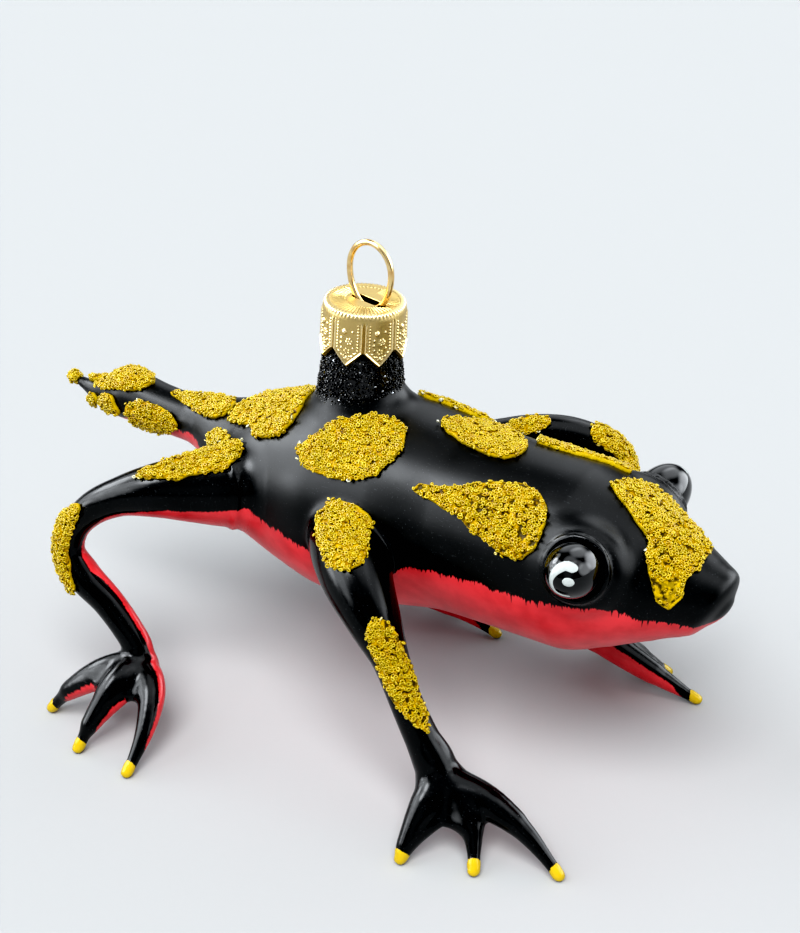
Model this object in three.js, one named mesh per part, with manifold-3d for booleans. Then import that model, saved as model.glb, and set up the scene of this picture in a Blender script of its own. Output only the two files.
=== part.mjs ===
// A hanging ornament in the form of a fire salamander, mouth-blown in glass.
// One blown body runs from the snout to the tip of its tail. Four solid glass legs are fused to
// it, each with a webbed foot of three toes, and the ornament stands on the twelve toe tips.
// A glittered pike rises from the back, under a pressed metal cap with a wire hanging ring.
// Patches of grit are glued on the back, head, tail and legs.
// Millimetres. +X towards the snout, +Y to the animal's left, +Z up, the floor at z = 0.
// The model is built round the foot of the pike and centred on its footprint at the end.

import * as THREE from 'three';
import { ConvexGeometry } from 'three/addons/geometries/ConvexGeometry.js';
import { mergeVertices } from 'three/addons/utils/BufferGeometryUtils.js';
import Module from 'manifold-3d';

const wasm = await Module();
wasm.setup();

// ---------------------------------------------------------------- driving dimensions

const GAP = 0.3;                      // clearance between neighbouring pieces

// The blown body: x, height of the centre, half width, half height, forward lean in degrees.
const BODY = [
  [-57.2, 42.1, 0.9, 0.9, 0],
  [-56.2, 41.8, 1.1, 1.1, 0],
  [-53.5, 41.4, 2.1, 2.1, 0],
  [-50.0, 41.9, 3.3, 3.3, 0],
  [-46.0, 42.5, 4.1, 4.2, 0],
  [-40.0, 42.0, 3.9, 3.9, 0],
  [-34.0, 41.6, 3.8, 3.8, 0],
  [-30.0, 41.5, 4.7, 4.6, 0],
  [-25.0, 40.0, 7.6, 7.0, 0],
  [-19.0, 38.0, 11.3, 10.8, 0],
  [-10.0, 37.9, 14.2, 14.0, 0],
  [0.0, 38.3, 16.1, 16.4, 0],
  [10.0, 38.8, 15.8, 16.0, 0],
  [20.0, 39.2, 14.6, 14.5, 0],
  [30.0, 39.0, 14.2, 14.2, 0],
  [40.0, 38.8, 14.0, 14.0, 0],
  [48.0, 38.6, 11.6, 11.2, 4],
  [54.5, 38.3, 8.7, 8.3, 10],
  [58.8, 37.8, 6.5, 6.3, 18],
  [61.0, 37.2, 5.2, 5.2, 27],
  [61.9, 36.9, 3.9, 3.9, 30],
];
const TAIL_ROOT_X = -27;              // seam between tail and torso
const NECK_X = 31;                    // seam between torso and head
const TAIL_TIP = [-59, 42.7, 1.3];    // x, height and radius of the ball of grit on the tail's end
const BODY_SIDES = 24;
const TAIL_SIDES = 14;

// Glass legs: x, y, height, radius, from the root inside the body to the ankle.
const FRONT_RIGHT_LEG = [
  [4, -8, 38, 6.6],
  [8, -14.5, 38, 6.3],
  [12.4, -19.3, 36, 5.3],
  [17.5, -22.4, 31.9, 4.0],
  [21.3, -23.6, 26.9, 2.75],
  [24.1, -24, 21.2, 2.45],
  [26.9, -24, 15.7, 2.5],
  [28.6, -24, 12.6, 2.85],
  [29.9, -24, 9.5, 3.15],
];
const FRONT_LEFT_LEG = [
  [4, 6, 39, 6.2],
  [8, 12.4, 40.6, 5.4],
  [13, 17.6, 42.0, 4.2],
  [18.8, 21.7, 43.7, 3.5],
  [24.2, 24, 43.9, 3.3],
  [28.8, 25.4, 42.5, 3.0],
  [31.9, 26, 38.8, 2.75],
  [33.2, 26, 33, 2.6],
  [33.2, 25.4, 26, 2.45],
  [32, 24.4, 18, 2.3],
  [30, 23.3, 10, 2.3],
];
const HIND_RIGHT_LEG = [
  [-10.5, -4.5, 38.6, 6.7],
  [-16.2, -11, 39, 6.5],
  [-20.3, -15.2, 39.2, 5.4],
  [-25, -19, 39.2, 4.3],
  [-30.4, -22, 37.8, 3.1],
  [-35, -23.7, 35, 2.65],
  [-38.2, -24.6, 31, 2.3],
  [-39, -25, 27, 2.2],
  [-37.4, -25.1, 23.1, 2.3],
  [-32.1, -25.2, 19.7, 2.35],
  [-27.8, -25.4, 16.3, 2.4],
  [-25.9, -25.5, 13.7, 2.4],
  [-25.2, -25.8, 10.5, 2.4],
];
const HIND_LEFT_LEG = [
  [-10.5, 4.5, 38.2, 6.6],
  [-16, 10.5, 38, 6.2],
  [-20.5, 15.5, 36.5, 5.1],
  [-26, 20, 33.4, 3.9],
  [-29.8, 22.8, 29, 3.0],
  [-30.4, 24, 24, 2.55],
  [-26.5, 23.8, 19, 2.55],
  [-20, 22.8, 14.6, 2.6],
  [-14, 21.6, 11, 2.45],
  [-9.5, 20.7, 8.4, 2.3],
];
const LEG_SIDES = 12;
const SHIN_SIDES = 10;

// Toe tips on the floor, front to rear: x, y, sideways bow, and how far the toe arches upwards.
// The webs between them run along each pair of toes by the shares given.
const FEET = {
  front_right: {
    tips: [[51.2, -24, 0.3, 1.5], [40.3, -30.2, 1.6, 1.1], [29.4, -34.1, 0.3, 1.2]],
    webs: [[0.6, 0.62], [0.66, 0.88]],
  },
  front_left: {
    tips: [[47.7, 28, -0.3, 0], [39.8, 33, -0.6, 0.15], [29.4, 34.2, 0.3, 0.4]],
    webs: [[0.56, 0.56], [0.56, 0.56]],
  },
  hind_right: {
    tips: [[-17.2, -39.8, 2.8, 1], [-28.3, -39.1, 1, 1.5], [-39.8, -32.5, 1.2, 1.2]],
    webs: [[0.36, 0.82], [0.55, 0.76]],
  },
  hind_left: {
    tips: [[10, 27.2, 1.1, 0.4], [3, 34.4, -0.5, 0.5], [-8, 35.4, 0.3, 0.5]],
    webs: [[0.56, 0.56], [0.56, 0.56]],
  },
};
const TOE_TIP_RADIUS = 0.95;
const TOE_TIP_HEIGHT = 0.75;          // centre of the rounded tip, so a small flat meets the floor
const TOE_RADII = [[0.2, 2.45], [0.42, 2.2], [0.7, 1.55], [0.9, 1.1]];
const WEB_THICKNESS = 1.9;

// Eyes: a low ring blown out of the head with a bullet-shaped glass dome on it.
const EYE_SEAT = [44.9, 11.9, 44.2];
const EYE_AXIS = [0.1, 0.94, 0.31];
const MOUND_RADIUS = 6.6;
const MOUND_RIM = 4.5;
const EYE_RADIUS = 4.0;
const EYE_LENGTH = 7.1;

// Pike: a hollow glass neck that carries the cap. Heights are along its own leaning axis.
const PIKE_BASE_Z = 54;
const PIKE_LEAN = 3.5;                // degrees towards the head
const PIKE_FOOT_RADIUS = 6.9;
const PIKE_SHOULDER_RADIUS = 6.0;
const PIKE_MOUTH_RADIUS = 5.4;
const PIKE_BORE = 4.4;
const PIKE_BORE_FLOOR = 2.5;
const PIKE_SHOULDER = 7.5;
const PIKE_MOUTH = 14.6;

// Cap: thin pressed metal with eight pointed lappets and a slot for the wire.
const CAP_RADIUS = 6.25;
const CAP_WALL = 0.45;
const CAP_TOP = 16.7;
const CAP_BEND = 1.1;                 // rounding of the rim
const CAP_TIPS = 8.05;
const LAPPETS = 8;
const LAPPET_POINT = 2.4;             // height of each point
const CAP_TURN = -11;                 // lappets, degrees about the pike's axis
const SLOT_LENGTH = 6.2;
const SLOT_WIDTH = 1.7;
const RING_TURN = -5.5;               // ring and slot, degrees about the pike's axis

// Hanging ring: an oval of sprung wire whose two ends pass down through the slot.
const WIRE = 0.95;
const RING_HALF_WIDTH = 3.95;
const RING_CENTRE = 21.4;
const RING_RISE = 4.4;
const RING_DROP = 6.0;
const RING_OFFSET = 0.7;
const WIRE_END = 12.6;
const WIRE_SPREAD = 2.5;

// Grit patches: how far their plates stand off the glass, below, at the edge and on top.
const GRIT_UNDER = 0.38;
const GRIT_EDGE = 0.85;
const GRIT_TOP = 1.15;

// Their outlines, as millimetres along the piece they are glued to and degrees round it. On the
// body the degrees run from the ridge of the back, positive down the animal's right side.
const BODY_GRIT = {
  head: [[43, 2], [44.5, -24], [47.4, -36], [51, -34], [54.4, -27], [57.1, -12], [57.3, 21], [57, 42],
    [57.8, 62], [56.8, 80], [55, 73], [53.4, 57], [51.9, 43], [50.7, 26], [48.6, 18], [46, 10]],
  flank_right: [[17, 51], [18.4, 46], [21.6, 45], [26.8, 35], [32.9, 27], [36.2, 30], [38.4, 40],
    [38.5, 56], [37, 70], [33.6, 71], [28.2, 63], [22.6, 56], [19.5, 54]],
  back_right: [[-3.6, 47], [-1.1, 35], [1.4, 26], [5.3, 17], [9.7, 15], [12.5, 23], [12.9, 34],
    [10.6, 51], [6, 57], [0.5, 57]],
  back_front: [[15.2, 5], [16.2, -6], [18.6, -16], [21.6, -22], [25.6, -16], [28.9, -5], [29.3, 8],
    [27.2, 15], [23.4, 15], [19.2, 12]],
  back_left: [[4.6, -34], [8, -24], [13, -25], [17.6, -31], [16.8, -44], [11, -54], [6, -48]],
  rump: [[-21.2, 34], [-21.7, 18], [-20.1, -8], [-17, -25], [-12.6, -20], [-9, 2], [-7.4, 26],
    [-9.5, 41], [-13.4, 43], [-16.9, 33]],
  rump_left: [[-13, -48], [-7, -42], [-1, -46], [3, -58], [-1, -72], [-7, -74], [-12, -62]],
  flank_left: [[17, -70], [22, -60], [28, -64], [29.5, -80], [26, -94], [20, -97], [16.5, -86]],
  head_left: [[28.6, -16], [33, -17], [38.5, -22], [42.6, -30], [40.4, -42], [35, -48], [30, -36]],
  rump_side: [[-24.4, 62], [-23.8, 51], [-21.6, 43], [-19.3, 46], [-18, 53], [-19.9, 61], [-22.8, 67]],
  tail_root: [[-37.2, 16], [-34.8, -4], [-30.5, -10], [-24.8, -2], [-22.9, 20], [-25.3, 38],
    [-29.4, 43], [-33.2, 31]],
  tail_top: [[-52.3, 52], [-50.8, 20], [-49, -16], [-46.9, -34], [-43.4, -26], [-40.8, 1],
    [-41.7, 28], [-43.8, 50], [-47.4, 57]],
  tail_right: [[-44.3, 96], [-42.7, 71], [-40.1, 57], [-36.9, 57], [-34.2, 70], [-33.8, 99],
    [-37.7, 129], [-42.1, 140], [-43.9, 120]],
  tail_left: [[-43, -96], [-40, -72], [-35.5, -66], [-31.6, -84], [-33.4, -112], [-39, -122]],
  tail_band: [[-50.6, 84], [-49.2, 66], [-47.5, 72], [-46.4, 94], [-46.2, 118], [-48.4, 120]],
  tail_far: [[-56.2, -10], [-55, 18], [-53.4, 10], [-52.6, -24], [-52.4, -60], [-54, -84], [-55.8, -60]],
  tail_tip_band: [[-54.6, 118], [-54, 84], [-52.9, 68], [-51.9, 84], [-52, 120], [-53.2, 134]],
};
const LEG_GRIT = {
  shoulder_right: ['front_right', [[9, 150], [6.9, 129], [5.9, 103], [6.5, 82], [9.4, 68], [12.1, 78],
    [14.2, 86], [15.9, 106], [15.5, 136], [13.2, 155]]],
  forearm_right: ['front_right', [[22.9, 141], [22.2, 115], [23.2, 92], [25.6, 76], [29.3, 67],
    [34.7, 64], [39.4, 84], [38.2, 110], [34.6, 144], [30.6, 164], [26.1, 158]]],
  thigh_right: ['hind_right', [[23.4, -115], [20.6, -98], [16.8, -80], [12.4, -74], [8.4, -78],
    [7.8, -96], [9, -116], [11.6, -130], [15.2, -128], [18, -138], [21, -129]]],
  knee_right: ['hind_right', [[32.4, -124], [34.6, -104], [38.6, -94], [43, -98], [46.6, -116],
    [48, -150], [46.2, -178], [41.6, -190], [37.1, -181], [33.4, -160]]],
  shoulder_left: ['front_left', [[17.6, 126], [20, 104], [23, 98], [24.8, 114], [24.2, 134],
    [21.4, 148], [18.8, 143]]],
  forearm_left: ['front_left', [[30.4, 118], [31.6, 82], [34.4, 72], [37.6, 96], [38.2, 128],
    [36, 152], [33, 152]]],
  thigh_left: ['hind_left', [[9.6, -66], [13, -44], [18, -40], [22.4, -56], [24, -78], [20, -92],
    [14, -90]]],
  knee_left: ['hind_left', [[30.5, -104], [32.5, -76], [37, -66], [41, -80], [43, -108], [39, -134],
    [34, -130]]],
};
const GRIT_POINTS = 16;

// Colours.
const COLOURS = {
  black: { color: 0x0b0c0e, roughness: 0.32, metalness: 0.0 },
  glitter: { color: 0x050506, roughness: 0.55, metalness: 0.3 },
  eye: { color: 0x08090a, roughness: 0.06, metalness: 0.0 },
  grit: { color: 0xd9b400, roughness: 0.45, metalness: 0.0 },
  gold: { color: 0xd9b877, roughness: 0.28, metalness: 1.0 },
  wire: { color: 0xc98a3c, roughness: 0.22, metalness: 1.0 },
};

// ---------------------------------------------------------------- solids

// A closed three.js geometry as a solid that can be joined and cut.
function solidOf(geometry) {
  const bare = geometry.clone();
  for (const name of ['normal', 'uv']) {
    bare.deleteAttribute(name);
  }
  const merged = mergeVertices(bare, 1e-4);
  return new wasm.Manifold(new wasm.Mesh({
    numProp: 3,
    vertProperties: new Float32Array(merged.attributes.position.array),
    triVerts: new Uint32Array(merged.index.array),
  }));
}

// The largest closed body of a solid, as a geometry.
function geometryOf(solid) {
  const bodies = solid.decompose();
  bodies.sort((a, b) => b.volume() - a.volume());
  const mesh = bodies[0].getMesh();
  const geometry = new THREE.BufferGeometry();
  geometry.setAttribute('position', new THREE.BufferAttribute(new Float32Array(mesh.vertProperties), 3));
  geometry.setIndex(new THREE.BufferAttribute(new Uint32Array(mesh.triVerts), 1));
  geometry.computeVertexNormals();
  return geometry;
}

const model = new THREE.Group();

function addPiece(name, solid, colour) {
  const mesh = new THREE.Mesh(geometryOf(solid), new THREE.MeshStandardMaterial(COLOURS[colour]));
  mesh.name = name;
  model.add(mesh);
}

// A closed surface through rings of points, each ring counter-clockwise seen from the far end.
function skinOver(rings, startPole, endPole) {
  const sides = rings[0].length;
  const points = [startPole, ...rings.flat(), endPole];
  const last = points.length - 1;
  const index = [];
  const id = (ring, side) => 1 + ring * sides + (side % sides);
  for (let side = 0; side < sides; side += 1) {
    index.push(0, id(0, side + 1), id(0, side));
    index.push(last, id(rings.length - 1, side), id(rings.length - 1, side + 1));
  }
  for (let ring = 0; ring < rings.length - 1; ring += 1) {
    for (let side = 0; side < sides; side += 1) {
      const a = id(ring, side);
      const b = id(ring, side + 1);
      const c = id(ring + 1, side + 1);
      const d = id(ring + 1, side);
      index.push(a, b, c, a, c, d);
    }
  }
  const geometry = new THREE.BufferGeometry();
  geometry.setFromPoints(points);
  geometry.setIndex(index);
  return solidOf(geometry);
}

// ---------------------------------------------------------------- tubes of changing size

// A tube through stations along a curve. A place on it is a distance along, an angle round it
// and a height off its surface.
class Tube {
  constructor({ stations, keys, reference, levelAcross }) {
    this.keys = keys;
    this.reference = reference;
    this.levelAcross = levelAcross;
    this.spine = new THREE.CatmullRomCurve3(stations.map((s) => s.centre));
    this.sizes = new THREE.CatmullRomCurve3(stations.map((s) => s.size));
  }

  // Share of the curve at a distance along it.
  share(key) {
    const { keys } = this;
    let span = 0;
    while (span < keys.length - 2 && key > keys[span + 1]) {
      span += 1;
    }
    const within = (key - keys[span]) / (keys[span + 1] - keys[span]);
    return THREE.MathUtils.clamp((span + within) / (keys.length - 1), 0, 1);
  }

  // Centre, size and the two directions of the section at a distance along.
  section(key) {
    const share = this.share(key);
    const centre = this.spine.getPoint(share);
    const size = this.sizes.getPoint(share);
    const along = this.spine.getTangent(share);
    let zero;
    let quarter;
    if (this.levelAcross) {
      const lean = THREE.MathUtils.degToRad(size.z);
      zero = new THREE.Vector3(Math.sin(lean), 0, Math.cos(lean));
      quarter = new THREE.Vector3(0, -1, 0);
      along.set(Math.cos(lean), 0, -Math.sin(lean));
    } else {
      zero = this.reference.clone().addScaledVector(along, -this.reference.dot(along)).normalize();
      quarter = new THREE.Vector3().crossVectors(along, zero);
    }
    return { centre, size, along, zero, quarter };
  }

  // A point at an angle in degrees round the tube and a height off it.
  at(key, angle, height = 0) {
    const { centre, size, zero, quarter } = this.section(key);
    const turn = THREE.MathUtils.degToRad(angle);
    return centre
      .addScaledVector(zero, Math.cos(turn) * (size.y + height))
      .addScaledVector(quarter, Math.sin(turn) * (size.x + height));
  }

  ring(key, sides, height) {
    return Array.from({ length: sides }, (_, side) => this.at(key, (360 * side) / sides, height));
  }

  // The solid between two distances, its ends flat or rounded off, the far end drawn out by endRoom.
  solid({ from, to, step, sides, height = 0, roundStart = false, roundEnd = false, endRoom = 0 }) {
    const count = Math.max(2, Math.ceil((to - from) / step));
    const rings = [];
    for (let i = 0; i <= count; i += 1) {
      rings.push(this.ring(from + ((to - from) * i) / count, sides, height));
    }
    const domed = (key, sign) => {
      const { centre, size, along } = this.section(key);
      const edge = this.ring(key, sides, height);
      const reach = Math.min(size.x, size.y) + height;
      const shrink = (share) => edge.map((point) => point.clone()
        .lerp(centre, 1 - Math.cos(share))
        .addScaledVector(along, sign * reach * Math.sin(share)));
      const pole = centre.clone().addScaledVector(along, sign * reach);
      return { extra: [shrink(Math.PI / 6), shrink(Math.PI / 3)], pole };
    };
    let startPole = this.section(from).centre;
    let endPole = this.section(to).centre;
    if (endRoom > 0) {
      const { along } = this.section(to);
      rings.push(rings[rings.length - 1].map((point) => point.clone().addScaledVector(along, endRoom)));
      endPole.addScaledVector(along, endRoom);
    }
    if (roundStart) {
      const { extra, pole } = domed(from, -1);
      rings.unshift(extra[1], extra[0]);
      startPole = pole;
    }
    if (roundEnd) {
      const { extra, pole } = domed(to, 1);
      rings.push(...extra);
      endPole = pole;
    }
    return skinOver(rings, startPole, endPole);
  }
}

function bodyTube() {
  return new Tube({
    stations: BODY.map(([x, z, halfWidth, halfHeight, lean]) => ({
      centre: new THREE.Vector3(x, 0, z),
      size: new THREE.Vector3(halfWidth, halfHeight, lean),
    })),
    keys: BODY.map(([x]) => x),
    levelAcross: true,
  });
}

function legTube(stations, reference) {
  const keys = [0];
  for (let i = 1; i < stations.length; i += 1) {
    const step = Math.hypot(...[0, 1, 2].map((axis) => stations[i][axis] - stations[i - 1][axis]));
    keys.push(keys[i - 1] + step);
  }
  return new Tube({
    stations: stations.map(([x, y, z, radius]) => ({
      centre: new THREE.Vector3(x, y, z),
      size: new THREE.Vector3(radius, radius, 0),
    })),
    keys,
    reference: new THREE.Vector3(...reference).normalize(),
    levelAcross: false,
  });
}

// ---------------------------------------------------------------- body

const body = bodyTube();
const bodyEnd = BODY[BODY.length - 1][0];

// The whole body with a clearance round it, to trim what meets it.
const bodyRoom = body.solid({
  from: BODY[0][0], to: bodyEnd, step: 2.2, sides: BODY_SIDES, height: GAP, roundEnd: true,
});

function tail() {
  return body.solid({
    from: BODY[0][0], to: TAIL_ROOT_X - GAP / 2, step: 1.9, sides: TAIL_SIDES,
  });
}

function torso() {
  return body.solid({
    from: TAIL_ROOT_X + GAP / 2, to: NECK_X - GAP / 2, step: 3.2, sides: BODY_SIDES,
  });
}

// A shape turned about the Y axis of a lathe, laid along an axis from a seat.
function turned(profile, segments, seat, axis) {
  const geometry = new THREE.LatheGeometry(profile.map(([r, h]) => new THREE.Vector2(r, h)), segments);
  const up = new THREE.Vector3(0, 1, 0);
  geometry.applyQuaternion(new THREE.Quaternion().setFromUnitVectors(up, axis));
  geometry.translate(seat.x, seat.y, seat.z);
  return solidOf(geometry);
}

// Seat and axis of the eye on one side: 1 is the animal's left, -1 its right.
function eyePlace(side) {
  const seat = new THREE.Vector3(EYE_SEAT[0], side * EYE_SEAT[1], EYE_SEAT[2]);
  const axis = new THREE.Vector3(EYE_AXIS[0], side * EYE_AXIS[1], EYE_AXIS[2]).normalize();
  return { seat, axis };
}

// The low ring of glass that each eye sits on.
function eyeMound(side, room = 0) {
  const { seat, axis } = eyePlace(side);
  return turned([
    [0, -4.5],
    [MOUND_RADIUS * 0.9 + room, -4.5],
    [MOUND_RADIUS + room, -3.2],
    [MOUND_RADIUS * 0.86 + room, -1.6],
    [MOUND_RIM + 0.5 + room, -0.35],
    [MOUND_RIM + room, room],
    [0, room],
  ], 20, seat, axis);
}

function head() {
  const skull = body.solid({
    from: NECK_X + GAP / 2, to: bodyEnd, step: 2.4, sides: BODY_SIDES,
  });
  return skull.add(eyeMound(1)).add(eyeMound(-1));
}

function eye(side) {
  const { seat, axis } = eyePlace(side);
  const profile = [[0, GAP], [EYE_RADIUS, GAP]];
  const steps = 5;
  for (let i = 1; i < steps; i += 1) {
    const turn = (Math.PI / 2) * (i / steps);
    const radius = EYE_RADIUS * Math.cos(turn) ** 0.8;
    profile.push([radius, GAP + 0.5 + (EYE_LENGTH - 0.5) * Math.sin(turn)]);
  }
  profile.push([0, GAP + EYE_LENGTH]);
  return turned(profile, 16, seat, axis);
}

// ---------------------------------------------------------------- legs and feet

const LEGS = {
  front_right: { tube: legTube(FRONT_RIGHT_LEG, [0.4, 0.9, 0]), split: 0.5 },
  front_left: { tube: legTube(FRONT_LEFT_LEG, [-0.5, 0.85, 0]), split: 0.52 },
  hind_right: { tube: legTube(HIND_RIGHT_LEG, [-0.45, 0.9, 0]), split: 0.55 },
  hind_left: { tube: legTube(HIND_LEFT_LEG, [0.2, 0.95, 0.2]), split: 0.55 },
};

function legLength(leg) {
  const { keys } = leg.tube;
  return keys[keys.length - 1];
}

function upperLeg(leg) {
  const knee = legLength(leg) * leg.split;
  const whole = leg.tube.solid({ from: 0, to: knee - GAP / 2, step: 2.8, sides: LEG_SIDES });
  return whole.subtract(bodyRoom);
}

function lowerLeg(leg) {
  const length = legLength(leg);
  const knee = length * leg.split;
  return leg.tube.solid({ from: knee + GAP / 2, to: length, step: 2.5, sides: SHIN_SIDES });
}

// One toe: a glass rod pulled out of the foot, arched down to its rounded tip.
function toePoint(ankle, tip, share) {
  const sideways = new THREE.Vector2(-(tip.y - ankle.y), tip.x - ankle.x);
  sideways.setLength(4 * tip.bow * share * (1 - share));
  return new THREE.Vector3(
    THREE.MathUtils.lerp(ankle.x, tip.x, share) + sideways.x,
    THREE.MathUtils.lerp(ankle.y, tip.y, share) + sideways.y,
    TOE_TIP_HEIGHT + (ankle.z - TOE_TIP_HEIGHT) * (1 - share) * (1 + tip.arch * share),
  );
}

function toe(ankle, ankleRadius, tip) {
  const stations = [
    [0, ankleRadius * 0.92],
    ...TOE_RADII,
    [1, TOE_TIP_RADIUS],
  ].map(([share, radius]) => [...toePoint(ankle, tip, share).toArray(), radius]);
  const rod = legTube(stations, [0, 0, 1]);
  return rod.solid({
    from: 0, to: rod.keys[rod.keys.length - 1], step: 3, sides: 8, roundStart: true, roundEnd: true,
  });
}

// A ball of few faces at a point of the web.
function webCorner(centre, radius) {
  const ball = new THREE.IcosahedronGeometry(radius, 0);
  const corner = ball.attributes.position;
  return Array.from({ length: corner.count }, (_, i) => (
    new THREE.Vector3().fromBufferAttribute(corner, i).add(centre)));
}

function web(ankle, tips, reaches) {
  const corners = webCorner(ankle, WEB_THICKNESS * 0.8);
  tips.forEach((tip, i) => {
    corners.push(...webCorner(toePoint(ankle, tip, reaches[i]), WEB_THICKNESS / 2));
  });
  return solidOf(new ConvexGeometry(corners));
}

// Everything below the floor, taken off the toes so that they stand on flats at one level.
const belowFloor = solidOf(new THREE.BoxGeometry(300, 300, 20).translate(0, 0, -10));

function foot(leg, { tips, webs }) {
  const length = legLength(leg);
  const { centre: ankle, size } = leg.tube.section(length);
  const points = tips.map(([x, y, bow, arch]) => {
    const inward = new THREE.Vector2(ankle.x - x, ankle.y - y).setLength(TOE_TIP_RADIUS * 0.8);
    return { x: x + inward.x, y: y + inward.y, bow, arch };
  });
  let solid = toe(ankle, size.x, points[0]);
  webs.forEach((reaches, i) => {
    solid = solid.add(toe(ankle, size.x, points[i + 1]));
    solid = solid.add(web(ankle, [points[i], points[i + 1]], reaches));
  });
  const shinRoom = leg.tube.solid({
    from: length * leg.split, to: length, step: 2.5, sides: SHIN_SIDES, height: GAP, endRoom: GAP,
  });
  return solid.subtract(shinRoom).subtract(belowFloor);
}

// ---------------------------------------------------------------- pike, cap and ring

// Shapes on the pike's leaning axis are made upright at the origin, then placed by this.
const pikePlace = new THREE.Matrix4()
  .makeTranslation(0, 0, PIKE_BASE_Z)
  .multiply(new THREE.Matrix4().makeRotationY(THREE.MathUtils.degToRad(PIKE_LEAN)));
const UPRIGHT = new THREE.Matrix4().makeRotationX(Math.PI / 2);

function onPike(geometry) {
  return solidOf(geometry.applyMatrix4(pikePlace));
}

function spun(profile, segments) {
  const geometry = new THREE.LatheGeometry(profile.map(([r, h]) => new THREE.Vector2(r, h)), segments);
  return onPike(geometry.applyMatrix4(UPRIGHT));
}

// The pike's glass, swollen by a clearance where it trims its neighbours.
function pikeGlass(room = 0) {
  return spun([
    [0, -4],
    [PIKE_FOOT_RADIUS + 0.5 + room, -4],
    [PIKE_FOOT_RADIUS + 0.1 + room, 0.2],
    [PIKE_FOOT_RADIUS - 0.35 + room, 1.8],
    [PIKE_SHOULDER_RADIUS + room, PIKE_SHOULDER],
    [PIKE_MOUTH_RADIUS, PIKE_SHOULDER + 0.6],
    [PIKE_MOUTH_RADIUS, PIKE_MOUTH],
    [PIKE_BORE, PIKE_MOUTH],
    [PIKE_BORE, PIKE_BORE_FLOOR],
    [0, PIKE_BORE_FLOOR],
  ], 24);
}

function pike() {
  return pikeGlass().subtract(bodyRoom);
}

function cap() {
  const inner = CAP_RADIUS - CAP_WALL;
  const shell = spun([
    [0, CAP_TOP - CAP_WALL],
    [inner - CAP_BEND, CAP_TOP - CAP_WALL],
    [inner - CAP_BEND * 0.3, CAP_TOP - CAP_BEND * 0.3 - CAP_WALL],
    [inner, CAP_TOP - CAP_BEND - CAP_WALL],
    [inner, CAP_TIPS],
    [CAP_RADIUS + 0.1, CAP_TIPS],
    [CAP_RADIUS, CAP_TOP - CAP_BEND],
    [CAP_RADIUS - CAP_BEND * 0.3, CAP_TOP - CAP_BEND * 0.3],
    [CAP_RADIUS - CAP_BEND, CAP_TOP],
    [0, CAP_TOP],
  ], LAPPETS * 4);
  const half = Math.PI / LAPPETS;
  const notchHalf = CAP_RADIUS * Math.tan(half);
  const notch = new THREE.Shape();
  notch.moveTo(-notchHalf, CAP_TIPS - 0.4);
  notch.lineTo(notchHalf, CAP_TIPS - 0.4);
  notch.lineTo(notchHalf, CAP_TIPS);
  notch.lineTo(0, CAP_TIPS + LAPPET_POINT);
  notch.lineTo(-notchHalf, CAP_TIPS);
  notch.closePath();
  let metal = shell;
  for (let i = 0; i < LAPPETS; i += 1) {
    const wedge = new THREE.ExtrudeGeometry(notch, { depth: 3, bevelEnabled: false });
    wedge.applyMatrix4(UPRIGHT).translate(0, -CAP_RADIUS + 1.6, 0);
    wedge.rotateZ(2 * half * i + THREE.MathUtils.degToRad(CAP_TURN));
    metal = metal.subtract(onPike(wedge));
  }
  const slot = new THREE.BoxGeometry(SLOT_LENGTH, SLOT_WIDTH, 4);
  slot.rotateZ(THREE.MathUtils.degToRad(RING_TURN)).translate(RING_OFFSET, 0, CAP_TOP);
  return metal.subtract(onPike(slot));
}

// The wire: down one leg of the slot, round the oval and down the other.
function hangingRing() {
  const points = [];
  const lowest = 0.82 * Math.PI / 2;
  const steps = 32;
  for (let i = 0; i <= steps; i += 1) {
    const turn = -lowest + ((Math.PI + 2 * lowest) * i) / steps;
    const rise = Math.sin(turn) > 0 ? RING_RISE : RING_DROP;
    points.push([RING_HALF_WIDTH * Math.cos(turn), RING_CENTRE + rise * Math.sin(turn)]);
  }
  const foot = points[0];
  const legs = [
    [WIRE_SPREAD, WIRE_END],
    [(foot[0] + WIRE_SPREAD) / 2, (foot[1] + WIRE_END) / 2],
  ];
  const path = [
    ...legs,
    ...points,
    ...legs.map(([across, height]) => [-across, height]).reverse(),
  ];
  const stations = path.map(([across, height]) => [across, 0, height, WIRE / 2]);
  const wire = legTube(stations, [0, 1, 0]);
  const place = new THREE.Matrix4()
    .makeRotationZ(THREE.MathUtils.degToRad(RING_TURN))
    .premultiply(new THREE.Matrix4().makeTranslation(RING_OFFSET, 0, 0))
    .premultiply(pikePlace);
  wire.spine.points.forEach((point) => point.applyMatrix4(place));
  wire.reference.transformDirection(place);
  return wire.solid({
    from: 0, to: wire.keys[wire.keys.length - 1], step: 1.25, sides: 8, roundStart: true, roundEnd: true,
  });
}

// ---------------------------------------------------------------- grit patches

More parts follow.
